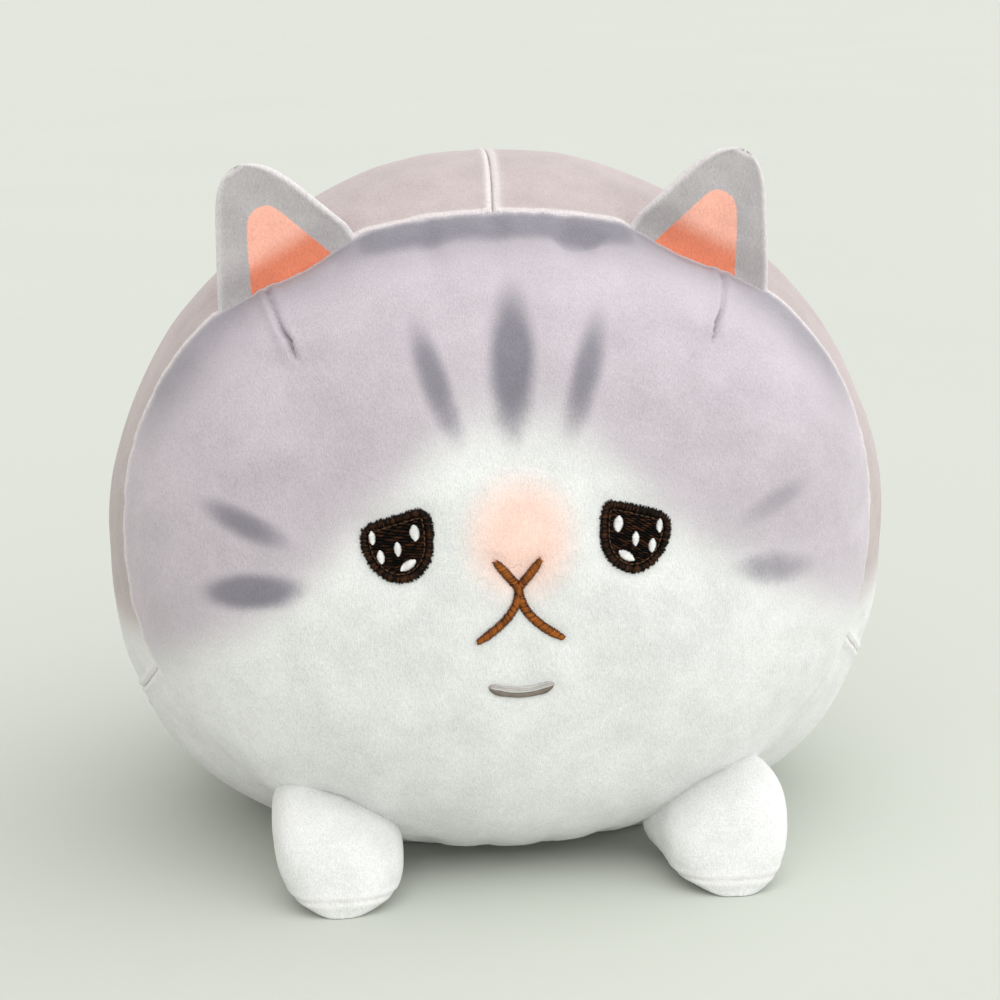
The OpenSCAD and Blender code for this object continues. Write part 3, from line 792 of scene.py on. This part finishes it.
def worked(points, closed, edges, extra=None):
    """The rest grid swollen, pulled down at its sewn edges and lumpy. edges are (edge line, distance)."""
    nearest = np.min([distance for _, distance in edges], axis=0)
    swollen = points + body_swelling.at(points, 2.5 * MM)
    normals = grid_normals(swollen, closed)
    hold = smooth(nearest / (25 * MM))
    height = lumpy(points, hold)
    height -= SWELLING_TAKEN_OFF * np.linalg.norm(swollen - points, axis=-1)
    for line, distance in edges:
        along_columns = line.shape[0] == distance.shape[1]
        height += seam_relief(distance)
        height += gathers(line, distance) if along_columns else gathers(line, distance.T).T
    if extra is not None:
        height += extra
    way = mix(from_axis(swollen), normals, smooth(nearest / (6 * MM))[..., None])
    result = swollen + way * height[..., None] - ear_pull(points)
    result[..., 2] = np.maximum(result[..., 2], 0.2 * MM)
    return result, nearest


# Lighter pile beside a seam: partly parted pile, partly a painted highlight on the seam's lip.
def parted_and_lit_pile(nearest):
    return bump(nearest - 0.8 * MM, 1.7 * MM)


def torso_cloth(piece, node):
    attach(piece, "torso")
    return declare_padded(piece, [node])


DOME_SEAMS_DEG = (SIDE_SEAM_DEG, DART_DEG, 90, 180 - DART_DEG, LEFT_SEAM_DEG)
dome_deg = graded(-90, 270, 1.1, 0.28, DOME_SEAMS_DEG, 6)[:-1]
dome_theta = np.radians(graded(0.6, 90, 1.3, 0.25, (90,), 7))[:, None]


def face_dye_and_shade(rest, distance):
    x, z = rest[..., 0], rest[..., 2]
    return {"grey": face_grey(x, z), "mark": face_marks_and_shade(x, z, distance), "blush": face_blush(x, z)}


def rump_dye(rest, distance):
    return {"grey": smooth((rest[..., 2] - 62 * MM) / (26 * MM))}


def build_dome(name, node, point, colouring, material, front):
    """The face or the rump: a disc of cloth whose rim is a seam. The face's rim is its last row of points."""
    rest = point(np.sin(dome_theta if front else dome_theta[::-1]), dome_deg)
    distance = run_length(rest[::-1])[::-1] if front else run_length(rest)
    relief = face_relief(rest[..., 0], rest[..., 2]) if front else None
    points, nearest = worked(rest, True, [(rest[-1 if front else 0], distance)], relief)
    sides = ("last_row",) if front else ("first_row",)
    grid = with_tucks(points, grid_normals(points, True), sides)
    rows, cols = grid.shape[:2]
    middle = 0 if front else rows - 1
    faces = grid_faces(rows, cols, True) + fan_faces(rows * cols, middle * cols, cols, not front)
    piece = make_piece(name, np.vstack([grid.reshape(-1, 3), grid[middle].mean(0)]), faces, material)
    for layer, values in {**colouring(rest, distance), "parted_and_lit": parted_and_lit_pile(nearest)}.items():
        padded = padded_like(values, sides)
        paint(piece, layer, np.append(padded.ravel(), padded[middle].mean()))
    return torso_cloth(piece, node)


def build_barrel_panel(name, node, slot, from_deg, to_deg, greyness):
    share = graded(0, 1, 0.015, 0.0032, (0, 1), 0.05)[:, None]
    deg = graded(from_deg, to_deg, 1.1, 0.28, (from_deg, to_deg), 6)
    rest = barrel_point(share, deg)
    from_face, from_side = run_length(rest), run_length(rest.transpose(1, 0, 2)).T
    to_rump, to_side = from_face[-1] - from_face, from_side[:, -1:] - from_side
    edges = [(rest[0], from_face), (rest[-1], to_rump), (rest[:, 0], from_side), (rest[:, -1], to_side)]
    points, nearest = worked(rest, False, edges)
    sides = ("first_row", "last_row", "columns")
    grid = with_tucks(points, grid_normals(points, False), sides)
    piece = make_piece(name, grid, grid_faces(*grid.shape[:2], False), body_plush)
    paint(piece, "grey", padded_like(greyness(rest), sides))
    paint(piece, "parted_and_lit", padded_like(parted_and_lit_pile(nearest), sides))
    return torso_cloth(piece, node)


def upper_grey(rest):
    return smooth((rest[..., 2] - 60 * MM) / (40 * MM))


def belly_grey(rest):
    return np.zeros(rest.shape[:2])


face_cloth = build_dome("face_cloth", "face_panel", face_point, face_dye_and_shade, face_plush, True)
build_dome("rump_cloth", "rump_panel", rump_point, rump_dye, body_plush, False)
BARREL_PANELS = (
    ("upper_left", "grey_plush", 90, LEFT_SEAM_DEG, upper_grey),
    ("upper_right", "grey_plush", SIDE_SEAM_DEG, 90, upper_grey),
    ("belly", "white_plush", LEFT_SEAM_DEG, BELLY_END_DEG, belly_grey),
)
barrel_cloth = {}
for word, *rest in BARREL_PANELS:
    barrel_cloth[word] = build_barrel_panel(f"{word}_cloth", f"{word}_panel", *rest)

# ---- Ears ----

EAR_TIP_X = 3 * MM          # the tip stands this far inwards of the base's middle
EAR_TOP = 34.2 * MM         # and this far over the fold line
EAR_LOW = -9.5 * MM         # its hidden bottom edge lies this far under it
EAR_OUTER_EDGE = (19.5 * MM, 7 * MM, 10)    # its slant's run, its tip's width and how square the tip is
EAR_INNER_EDGE = (12.5 * MM, 10 * MM, 6)
EAR_OUTER_SPLAY = 5.2 * MM  # how far its edges spread under the fold line
EAR_INNER_SPLAY = 0.8 * MM
EAR_HALF_THICK = 3 * MM
EAR_CUP = 3.2 * MM

# The pink print lies between two slanted lines, given by their two (x, z) ends, and under a top.
PRINT_OUTER = ((-13.6, -5), (-4.0, 14))
PRINT_INNER = ((15.4, -3.5), (10.2, 11.5))
PRINT_TOP = 19.6


def line_gap(x, z, line, way):
    """Distance of (x, z) from a slanted line, positive on its inner side. Both are in millimetres."""
    (ax, az), (bx, bz) = line
    length = math.hypot(bx - ax, bz - az)
    return way * ((x - ax) * (bz - az) - (z - az) * (bx - ax)) / length


def print_distance(x, z):
    """How far inside the edge of the ear's pink print a point lies. The print's corners are rounded."""
    x, z = x / MM, z / MM
    gaps = (line_gap(x, z, PRINT_OUTER, 1), line_gap(x, z, PRINT_INNER, -1), PRINT_TOP - z)
    corner = 1.9
    return -np.log(sum(np.exp(-gap / corner) for gap in gaps)) * corner * MM


def ear_edge(v, slanted, rounded, roundness):
    """Distance from an ear's tip line to its edge: a straight slant that a rounded tip closes."""
    return slanted * (1 - v) + rounded * np.sqrt(1 - v ** roundness)


def ear_grid(t, heights):
    """Flat (x, z) places over an ear: t runs from its outer to its inner edge, and heights up to its tip."""
    v = np.clip(heights, 0, 1)
    low = np.clip(-heights, 0, 1)
    outer = EAR_TIP_X - ear_edge(v, *EAR_OUTER_EDGE) - EAR_OUTER_SPLAY * low
    inner = EAR_TIP_X + ear_edge(v, *EAR_INNER_EDGE) + EAR_INNER_SPLAY * low
    z = EAR_TOP * v + EAR_LOW * low
    return mix(outer, inner, t), z + 0 * t, outer, inner


def build_ear(side):
    own = EarFrame(side)
    body = "left_ear" if side < 0 else "right_ear"
    t = 0.5 - 0.5 * np.cos(np.linspace(0, math.pi, 100))
    below = np.linspace(-1, 0, 16, endpoint=False)
    above = np.sin(np.radians(np.linspace(0, 88.5, 90)))
    heights = np.concatenate([below, above])[:, None]
    x, z, outer, inner = ear_grid(t, heights)

    u = 2 * t - 1
    v = np.clip(heights, 0, 1)
    upwards = v / v.max()
    swell = np.sqrt(np.clip(1 - u ** 4, 0, 1)) * np.sqrt(np.clip(1 - upwards ** 5, 0, 1))
    cup = EAR_CUP * u ** 2 * (1 - 0.5 * v)
    sunk = 2.5 * MM * smooth((8 * MM - z) / (12 * MM))
    rim = np.minimum(np.minimum(x - outer, inner - x), (EAR_TOP - z) * 1.1)
    middle_sheet = own.world(x, sunk - cup, z)
    soft = 0.6 * MM * rough(middle_sheet, 13 * MM, 5.0 + side) + 0.2 * MM * rough(middle_sheet, 5 * MM, 9.0)
    soft *= smooth(rim / (4 * MM))
    lip = 0.4 * MM * bump(rim - 1.6 * MM, 1.2 * MM)
    for layer, way in (("front", -1), ("back", 1)):
        depth = way * (EAR_HALF_THICK * swell + (lip + soft) * smooth(swell * 3))
        grid = own.world(x, sunk - cup + depth, z)
        faces = grid_faces(*x.shape, False)
        if way * side > 0:
            faces = [face[::-1] for face in faces]
        piece = make_piece(f"{body}_{layer}_cloth", grid, faces, ear_plush)
        paint(piece, "grey", np.ones(x.shape))
        # Painted highlight: the ear's rim is painted pale all round.
        paint(piece, "parted_and_lit", 0.95 * bump(rim, 1.7 * MM))
        if way < 0:
            paint(piece, "pink", np.maximum(0, print_distance(x, z) + PRINT_REACH))
            # Painted shade: the pink print darkens towards the ear's base.
            paint(piece, "deep", smooth((9 * MM - z) / (11 * MM)))
        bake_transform(piece)
        nodes = [f"{body}_{layer}"] if way < 0 else [f"{body}_{layer}", f"{body}_interlining"]
        declare_padded(piece, nodes)


for ear_side in (-1, 1):
    build_ear(ear_side)

# ---- Paws ----

SOLE_Z = 5.5 * MM           # height of the seam between cover and sole
PAW_HALF_W = 21 * MM
PAW_HALF_H = 17 * MM
PAW_TILT = 0.40             # how much higher the paw's outer side is than its inner one
TOE_SHORTER = 6 * MM        # how far the toe stops before the frame's
ROOT_DEEPER = 9 * MM        # how far the paw's narrow end reaches past its frame, inside the body
ROOT_Z = 26 * MM


def paw_rings(root, tip_x, toe_y, thinner, rows, sides):
    """Rings of a mitten-like paw from its narrow root to its toe, higher outside than inside."""
    forward = math.copysign(1, toe_y - root[1])
    outward = math.copysign(1, tip_x)
    turn = forward * np.radians(np.linspace(0, 360, sides, endpoint=False))
    power = np.where(np.sin(turn) > 0, 0.75, 1)
    cos, sin = signed_pow(np.cos(turn), power), signed_pow(np.sin(turn), power)
    share = 0.5 - 0.5 * np.cos(np.linspace(0.05, math.pi - 0.03, rows))[:, None]
    grown = smooth(share / 0.34)
    wide = np.maximum(mix(0.5, 1, grown) * (1 - share ** 7) ** 0.5 * PAW_HALF_W - thinner, 0.2 * MM)
    high = np.maximum(mix(0.4, 1, grown) * (1 - share ** 3.4) ** 0.55 * PAW_HALF_H - thinner, 0.2 * MM)
    aside = wide * cos
    z = mix(root[2], high + thinner - 0.4 * MM, grown) + high * sin
    z = z * (1 + grown * PAW_TILT * aside * outward / (2 * PAW_HALF_H))
    x = mix(root[0], tip_x, smooth(share / 0.6)) + aside
    y = mix(root[1], toe_y, share) - forward * thinner * share
    return np.stack([x, y + 0 * z, np.maximum(0, z)], -1)


def skin_poles(rings):
    return rings[0].mean(0), rings[-1].mean(0)


def split_at(piece, name, z, keep_above):
    """Cuts a copy of a piece at a height and keeps one half."""
    half = bpy.data.objects.new(name, piece.data.copy())
    half.data.name = name
    scene.collection.objects.link(half)
    work = bmesh.new()
    work.from_mesh(half.data)
    geometry = work.verts[:] + work.edges[:] + work.faces[:]
    bmesh.ops.bisect_plane(work, geom=geometry, plane_co=(0, 0, z), plane_no=(0, 0, 1),
                           clear_inner=keep_above, clear_outer=not keep_above)
    work.to_mesh(half.data)
    work.free()
    return half


def build_paw(body, forward):
    """A paw's cover, sole and filling. forward is the way its toe points, along Y."""
    lo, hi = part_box(f"{body}_cover")
    side = 1 if hi.x > 0 else -1
    pivot = joints[f"{body}_bend"]["pos_m"]
    root_y, toe_y = (hi.y, lo.y) if forward < 0 else (lo.y, hi.y)
    root = (pivot[0], root_y - forward * ROOT_DEEPER, max(pivot[2], ROOT_Z))
    toe_y -= forward * TOE_SHORTER
    tip_x = side * (max(abs(lo.x), abs(hi.x)) - PAW_HALF_W)

    coarse = paw_rings(root, tip_x, toe_y, 0.8 * MM, 18, 40)
    held = coarse[:6].reshape(-1, 3)
    swelling = Swelling(f"{body}_skin", *closed_mesh(coarse, *skin_poles(coarse)), held_at=held,
                        hold_reach=4 * MM, voxel=3 * MM, pressure=5.0, looseness=0.02, most=1.6 * MM)
    rest = paw_rings(root, tip_x, toe_y, 0, 110, 160)
    swollen = rest + swelling.at(rest, 2 * MM)
    normals = grid_normals(swollen, True)
    over_sole = np.abs(rest[..., 2] - SOLE_Z) * 1.25
    on_ground = smooth((rest[..., 2] - 0.5 * MM) / (2 * MM))
    height = 0.45 * seam_relief(over_sole) * on_ground
    height += 0.18 * MM * rough(rest, 2.6 * MM, 2.0) * np.exp(-over_sole / (3 * MM)) * on_ground
    height += 0.7 * MM * rough(rest, 17 * MM, 4.0 + side)
    grid = swollen + normals * height[..., None]
    grid[..., 2] = np.maximum(grid[..., 2], 0.2 * MM)
    points, faces = closed_mesh(grid, *skin_poles(grid))
    whole = make_piece(f"{body}_whole", points, faces, body_plush)
    parted_and_lit = 0.5 * parted_and_lit_pile(over_sole) * on_ground
    paint(whole, "parted_and_lit", np.append(parted_and_lit.ravel(), [0, 0]))
    for part, above in (("cover", True), ("sole", False)):
        piece = split_at(whole, f"{body}_{part}_cloth", SOLE_Z, above)
        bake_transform(piece)
        declare_padded(piece, [f"{body}_{part}"])
    bpy.data.objects.remove(whole)

    inside_rings = paw_rings(root, tip_x, toe_y, 3 * MM, 30, 48)
    filling = make_piece(f"{body}_filling", *closed_mesh(inside_rings, *skin_poles(inside_rings)), fibre_fill)
    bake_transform(filling)
    declare_padded(filling, [f"{body}_stuffing"])


for end, forwards in (("front", -1), ("rear", 1)):
    for hand in ("left", "right"):
        build_paw(f"{end}_{hand}_paw", forwards)

# ---- Tail ----

TAIL_ROOT_R = 9 * MM
TAIL_R = 11.5 * MM
TAIL_CURL = 34 * MM
TAIL_SWEEP = math.radians(62)
TAIL_SIDES = 110
TAIL_STEP = 0.62 * MM       # about the distance between two of its sides


def tail_skin(thinner, rows, ends, sides):
    """Rings of a tapering arc that curls up, from a tucked-in root to a round end."""
    start = np.array(joints["tail_wag"]["pos_m"])
    turn = np.radians(np.linspace(0, 360, sides, endpoint=False))

    def ring(t, push, shrink):
        a = t * TAIL_SWEEP
        radius = mix(TAIL_ROOT_R, TAIL_R, math.sin(min(math.pi / 2, t * 2.6))) - thinner
        along, up = np.array([0, math.cos(a), math.sin(a)]), np.array([0, -math.sin(a), math.cos(a)])
        middle = start + TAIL_CURL * np.array([0, math.sin(a), 1 - math.cos(a)]) + push * radius * along
        round_it = -np.cos(turn)[:, None] * np.array([1, 0, 0]) + np.sin(turn)[:, None] * up
        return middle + shrink * radius * round_it

    rings = [ring(0, math.sin(a), math.cos(a)) for a in np.radians(np.linspace(-82, -8, ends // 2))]
    rings += [ring(t, 0, 1) for t in np.linspace(0, 1, rows)]
    rings += [ring(1, math.sin(a), math.cos(a)) for a in np.radians(np.linspace(6, 86, ends))]
    return np.array(rings)[::-1]


def build_tail():
    coarse = tail_skin(0.8 * MM, 12, 8, 32)
    held = coarse[-5:].reshape(-1, 3)
    swelling = Swelling("tail_skin", *closed_mesh(coarse, *skin_poles(coarse)), held_at=held,
                        hold_reach=4 * MM, voxel=3 * MM, pressure=5.0, looseness=0.02, most=1.4 * MM)
    rest = tail_skin(0, 60, 24, TAIL_SIDES)
    swollen = rest + swelling.at(rest, 2 * MM)
    seam_gap = np.abs(np.arange(TAIL_SIDES) - 0.75 * TAIL_SIDES)[None, :] * TAIL_STEP + 0 * rest[..., 0]
    height = 0.5 * MM * rough(rest, 15 * MM, 6.0) + 0.7 * seam_relief(seam_gap)
    grid = swollen + grid_normals(swollen, True) * height[..., None]
    points, faces = closed_mesh(grid, *skin_poles(grid))
    piece = make_piece("tail_cloth", points, faces, body_plush)
    paint(piece, "grey", np.full(len(points), 0.95))
    paint(piece, "parted_and_lit", np.append(0.6 * parted_and_lit_pile(seam_gap).ravel(), [0, 0]))
    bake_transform(piece)
    declare_padded(piece, ["tail_cover"])


build_tail()

# ---- Embroidery ----

sewing = random.Random(11)
face_tree = cloth_tree(face_cloth)


def on_face(x, z, lift):
    """The point of the face cloth behind (x, z), raised by lift."""
    found, normal, _, _ = face_tree.ray_cast(Vector((x, NOSE_Y - 0.05, z)), Vector((0, 1, 0)))
    return np.array(found + normal * lift)


class Threads:
    """Gathers sewn threads, each a thin tube, into one piece."""

    SIDES = 6

    def __init__(self):
        self.points = []
        self.faces = []
        self.strands = []

    def tube(self, path, radius):
        """One thread along a path, thinner at its two ends."""
        path = np.asarray(path)
        count = len(path)
        along = np.gradient(path, axis=0)
        along /= np.linalg.norm(along, axis=1, keepdims=True)
        side = np.cross(along, (0.0, -1.0, 0.02))
        side /= np.linalg.norm(side, axis=1, keepdims=True)
        up = np.cross(side, along)
        turn = np.arange(self.SIDES) * 2 * math.pi / self.SIDES
        size = np.full(count, radius)
        size[[0, -1]] *= 0.55
        around = (np.cos(turn)[None, :, None] * side[:, None] + np.sin(turn)[None, :, None] * up[:, None])
        rings = path[:, None] + size[:, None, None] * around
        first = sum(len(block) for block in self.points)
        self.points.append(rings.reshape(-1, 3))
        quads = np.array(grid_faces(count, self.SIDES, True)) + first
        self.faces += quads.tolist()
        self.faces.append([first + k for k in range(self.SIDES)])
        self.faces.append([first + (count - 1) * self.SIDES + k for k in reversed(range(self.SIDES))])
        # Each strand's tone is random, and it is painted lighter in its middle and darker at its ends: a
        # painted highlight and shade.
        tone = sewing.random()
        for u in np.linspace(0, 1, count):
            self.strands += [0.55 * tone + 0.45 * math.sin(math.pi * u)] * self.SIDES

    def across(self, a, b, base, rise, radius, steps=6):
        """A thread sewn from a to b on the face, arching over what lies between."""
        path = []
        for u in np.linspace(0, 1, steps):
            x, z = mix(a[0], b[0], u), mix(a[1], b[1], u)
            path.append(on_face(x, z, base + rise * math.sqrt(max(0.0, 1 - (2 * u - 1) ** 2))))
        self.tube(path, radius)

    def piece(self, name, material, node, slot):
        made = make_piece(name, np.concatenate(self.points), self.faces, material)
        paint(made, "strand_tone_and_shade", self.strands)
        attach(made, "torso")
        if node:
            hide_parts(node)
        return made


def spaced(line, pitch, closed=False):
    """Points a pitch apart along a flat line, the line's direction at each and its share of the length."""
    line = np.vstack([line, line[:1]]) if closed else np.asarray(line)
    run = np.concatenate([[0], np.cumsum(np.linalg.norm(np.diff(line, axis=0), axis=1))])
    length = run[-1]
    places = np.linspace(0, length, int(length / pitch), endpoint=not closed)

    def at(distance):
        distance = distance % length if closed else np.clip(distance, 0, length)
        return np.stack([np.interp(distance, run, line[:, k]) for k in (0, 1)], -1)

    way = at(places + pitch * 0.8) - at(places - pitch * 0.8)
    way /= np.linalg.norm(way, axis=1, keepdims=True)
    points = np.stack([np.interp(places, run, line[:, k]) for k in (0, 1)], -1)
    return points, way, places / length


def jitter(amount):
    return amount * (2 * sewing.random() - 1)


def inset(outline, distance):
    """A closed outline moved inwards."""
    points, way, _ = spaced(outline, 0.7 * MM, True)
    middle = points.mean(0)
    normal = np.stack([-way[:, 1], way[:, 0]], -1)
    inward = np.sign(np.sum(normal * (middle - points), axis=1, keepdims=True)) * normal
    return points + inward * distance


def satin(threads, line, width, pitch, radius, base, rise, closed=False, slant=0.0, ragged=0.15 * MM):
    """A satin column: threads laid side by side across a line."""
    points, way, share = spaced(line, pitch, closed)
    for place, along, t in zip(points, way, share):
        across = np.array([-along[1], along[0]]) + slant * along
        half = width(t) / 2
        a = place + across * (half + jitter(ragged))
        b = place - across * (half + jitter(ragged))
        threads.across(a, b, base, rise, radius * mix(0.9, 1.1, sewing.random()))


def tatami(threads, outline, angle, pitch, stitch, radius, base, rise):
    """Rows of short running stitches that fill an outline, each row set off against the last."""
    turn = np.array([[math.cos(angle), math.sin(angle)], [-math.sin(angle), math.cos(angle)]])
    flat = outline @ turn.T
    ends = np.vstack([flat, flat[:1]])
    for number, v in enumerate(np.arange(flat[:, 1].min() + pitch / 2, flat[:, 1].max(), pitch)):
        hits = []
        for (au, av), (bu, bv) in zip(ends, ends[1:]):
            if (av > v) != (bv > v):
                hits.append(au + (bu - au) * (v - av) / (bv - av))
        if len(hits) < 2:
            continue
        left, right = min(hits), max(hits)
        cuts = np.arange(left - stitch * ((number * 0.37) % 1), right, stitch)
        cuts = [cut + jitter(0.2 * MM) for cut in cuts if left + 0.5 * MM < cut < right - 0.5 * MM]
        cuts = [left, *cuts, right]
        for a, b in zip(cuts, cuts[1:]):
            ends_flat = np.array([[a + 0.08 * MM, v], [b - 0.08 * MM, v + jitter(0.05 * MM)]]) @ turn
            threads.across(ends_flat[0], ends_flat[1], base, rise, radius, 4)


BORDER_W = 2.6 * MM

# The white spots of an eye, round the middle of the frame's spots: how far outwards and up, half width and
# half height in millimetres, and lean in degrees.
HIGHLIGHTS = (
    (7.0, 2.9, 1.05, 2.0, 4),
    (-6.2, 4.4, 1.55, 2.4, 6),
    (-0.8, -0.7, 1.15, 2.1, 4),
    (4.5, -3.2, 1.2, 2.0, 8),
    (-3.9, -5.9, 1.4, 2.7, -55),
)


def build_eye(side):
    word = "left" if side < 0 else "right"
    outline = eyes[side]

    fill = Threads()
    tatami(fill, inset(outline, BORDER_W * 0.85), side * math.radians(-14), 0.40 * MM, 3.0 * MM, 0.25 * MM,
           0.25 * MM, 0.28 * MM)
    fill.piece(f"{word}_eye_fill_threads", brown_thread, f"{word}_eye_fill", "brown_thread")

    pad_points = np.array([on_face(x, z, 0.22 * MM) for x, z in inset(outline, 0.5 * MM)])
    count = len(pad_points)
    pad_middle = on_face(*inset(outline, 0).mean(0), 0.22 * MM)
    rings = np.concatenate([mix(pad_middle, pad_points, share) for share in (1, 0.75, 0.5, 0.25)])
    rings = np.array([on_face(p[0], p[2], 0.22 * MM) for p in rings])
    faces = grid_faces(4, count, True) + fan_faces(4 * count, 3 * count, count, True)
    pad = make_piece(f"{word}_eye_underlay", np.vstack([rings, pad_middle]), faces, brown_thread)
    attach(pad, "torso")

    border = Threads()
    satin(border, inset(outline, BORDER_W / 2), lambda t: BORDER_W, 0.34 * MM, 0.25 * MM, 0.15 * MM,
          0.85 * MM, closed=True, slant=0.12, ragged=0.38 * MM)
    border.piece(f"{word}_eye_border_threads", brown_thread, f"{word}_eye_border", "brown_thread")

    line = Threads()
    points, _, _ = spaced(inset(outline, BORDER_W * 1.12), 0.6 * MM, True)
    lifts = (0.45 * MM, 0.72 * MM, 0.72 * MM, 0.45 * MM)
    for k in range(0, len(points) - 3, 3):
        line.tube([on_face(x, z, lift) for (x, z), lift in zip(points[k:k + 4], lifts)], 0.24 * MM)
    line.piece(f"{word}_eye_outline_threads", brown_line_thread, None, "brown_thread")

    low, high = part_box(f"{word}_eye_highlights")
    middle_x = (low.x + high.x) / 2
    middle_z = (low.z + high.z) / 2
    white = Threads()
    for out, up, half_w, half_h, lean in HIGHLIGHTS:
        x, z = middle_x + side * out * MM, middle_z + up * MM
        a = math.radians(lean) * side
        ends = [(x + way * half_h * MM * math.sin(a), z + way * half_h * MM * math.cos(a)) for way in (-1, 1)]
        satin(white, ends, lambda t, w=half_w: 2 * w * MM * math.sqrt(max(0.06, 1 - (2 * t - 1) ** 2)),
              0.33 * MM, 0.21 * MM, 0.60 * MM, 0.45 * MM, ragged=0.08 * MM)
    white.piece(f"{word}_eye_highlight_threads", white_thread, f"{word}_eye_highlights", "white_embroidery")


for eye_side in (-1, 1):
    build_eye(eye_side)

NOSE_W = 3.0 * MM
for nose_side, nose_name, nose_base in ((1, "nose_stitch_falling", 0.15), (-1, "nose_stitch_rising", 0.45)):
    strands = Threads()
    satin(strands, nose_lines[nose_side],
          lambda t: NOSE_W * math.sqrt(min(1, 0.35 + 6 * t, 0.35 + 6 * (1 - t))),
          0.30 * MM, 0.21 * MM, nose_base * MM, 0.95 * MM, slant=0.35, ragged=0.14 * MM)
    strands.piece(f"{nose_name}_threads", rust_thread, nose_name, "rust_thread")


def build_mouth():
    """Long threads laid along the mouth: shiny ones above, dull ones below.
    The upper ones are a lit copy of the taupe thread, painted silvery as a painted highlight.
    """
    points, way, share = spaced(mouth, 0.55 * MM)
    for word, rows, material, node in (("upper", (0.95, 0.62, 0.3), lit_taupe_thread, None),
                                       ("lower", (-0.2, -0.55, -0.9), taupe_thread, "mouth_stitch")):
        strands = Threads()
        for row in rows:
            offset = row * 1.6 * MM
            taper = np.sqrt(np.clip(np.minimum(share, 1 - share) * 9, 0, 1))
            path = [on_face(x, z + offset * size, (0.15 + 0.75 * math.sqrt(1 - row * row * 0.9)) * MM * size)
                    for (x, z), size in zip(points, taper)]
            strands.tube(path, 0.40 * MM)
        strands.piece(f"mouth_{word}_threads", material, node, "taupe_thread")


build_mouth()


def build_closing_stitches():
    """The ladder of hand stitches beside the left side seam, over the belly cloth."""
    tree = cloth_tree(barrel_cloth["belly"])
    strands = Threads()
    for s in np.linspace(0.36, 0.64, 9):
        path = []
        for t in np.linspace(0, 1, 7):
            rest = Vector(barrel_point(s, LEFT_SEAM_DEG + 1.5 + 4.5 * t))
            found, normal, _, _ = tree.find_nearest(rest)
            path.append(found + normal * 0.45 * MM * math.sin(math.pi * t))
        strands.tube(path, 0.4 * MM)
    strands.piece("closing_stitch_threads", seam_thread, "closing_stitches", "seam_thread")


build_closing_stitches()


def build_body_filling():
    piece = make_piece("body_filling", *body_skin(8 * MM), fibre_fill)
    places = positions(piece.data)
    moved = places - ear_pull(places)
    moved[:, 2] = np.maximum(moved[:, 2], 6 * MM)
    piece.data.vertices.foreach_set("co", moved.ravel())
    torso_cloth(piece, "body_stuffing")


def build_seam_threads():
    """A sewing thread in the valley of each seam round the body and along the back."""
    round_deg = np.linspace(0, 360, 361)
    lines = {"face_seam": barrel_point(0, round_deg), "rump_seam": barrel_point(1, round_deg),
             "back_seam": barrel_point(np.linspace(0, 1, 80), 90)}
    for name, line in lines.items():
        strands = Threads()
        strands.tube(line - ear_pull(line) - from_axis(line) * 1.8 * MM, 0.35 * MM)
        strands.piece(f"{name}_strand", seam_thread, f"{name}_thread", "seam_thread")


build_body_filling()
build_seam_threads()

# ---- Finishes of the hidden CAD nodes ----

hidden_finishes = {
    "tail_stuffing": fibre_fill,
    "embroidery_backing": backing_felt,
    "dart_stitches": seam_thread,
}
for node_name, finish in hidden_finishes.items():
    node_mesh = frame["nodes"][node_name].data
    node_mesh.materials.clear()
    node_mesh.materials.append(finish)

# ---- Floor, light and camera ----

FLOOR_TONE = (0.56, 0.585, 0.535, 1)


def build_floor():
    half = 60.0
    floor_nodes = Nodes("pale_floor")
    paper = floor_nodes.noise(0.6, 2.0)
    grain = floor_nodes.ramp(paper, 0.2, 0.8, 0.992, 1.008)
    floor_nodes.shade(Base_Color=floor_nodes.tone(FLOOR_TONE, grain), Roughness=0.9)
    corners = [(-half, -half, 0), (half, -half, 0), (half, half, 0), (-half, half, 0)]
    floor = make_piece("floor", corners, [(0, 1, 2, 3)], floor_nodes.material)


def add_sun(name, azimuth, elevation, energy, width, colour):
    """A broad far light: azimuth is measured from the front, to the right."""
    data = bpy.data.lights.new(name, "SUN")
    data.energy = energy
    data.angle = math.radians(width)
    data.color = colour
    lamp = bpy.data.objects.new(name, data)
    scene.collection.objects.link(lamp)
    a, e = math.radians(azimuth), math.radians(elevation)
    towards = Vector((math.sin(a) * math.cos(e), -math.cos(a) * math.cos(e), math.sin(e)))
    lamp.rotation_euler = towards.to_track_quat("Z", "Y").to_euler()


build_floor()
world = bpy.data.worlds.new("studio")
world.use_nodes = True
world.node_tree.nodes["Background"].inputs["Color"].default_value = (1.0, 0.975, 0.935, 1)
world.node_tree.nodes["Background"].inputs["Strength"].default_value = 0.77
scene.world = world
add_sun("key", 60, 45, 2.5, 130, (0.97, 0.99, 1.0))
scene.view_settings.view_transform = "Standard"

AIM = Vector((0.0008, -0.07001, 0.1175))
VIEW_AZIMUTH = math.radians(-4.67)
VIEW_ELEVATION = math.radians(11.77)
VIEW_DISTANCE = 0.870
VIEW_ROLL = math.radians(-1.6)


def build_camera():
    data = bpy.data.cameras.new("camera")
    data.lens = 91.98
    data.sensor_width = 36
    data.clip_start = 0.01
    data.clip_end = 500
    camera = bpy.data.objects.new("camera", data)
    scene.collection.objects.link(camera)
    ahead = Vector((-math.sin(VIEW_AZIMUTH) * math.cos(VIEW_ELEVATION),
                    math.cos(VIEW_AZIMUTH) * math.cos(VIEW_ELEVATION), -math.sin(VIEW_ELEVATION)))
    turn = ahead.to_track_quat("-Z", "Y").to_matrix().to_4x4() @ Matrix.Rotation(VIEW_ROLL, 4, "Z")
    camera.matrix_world = Matrix.Translation(AIM - ahead * VIEW_DISTANCE) @ turn
    scene.camera = camera


build_camera()
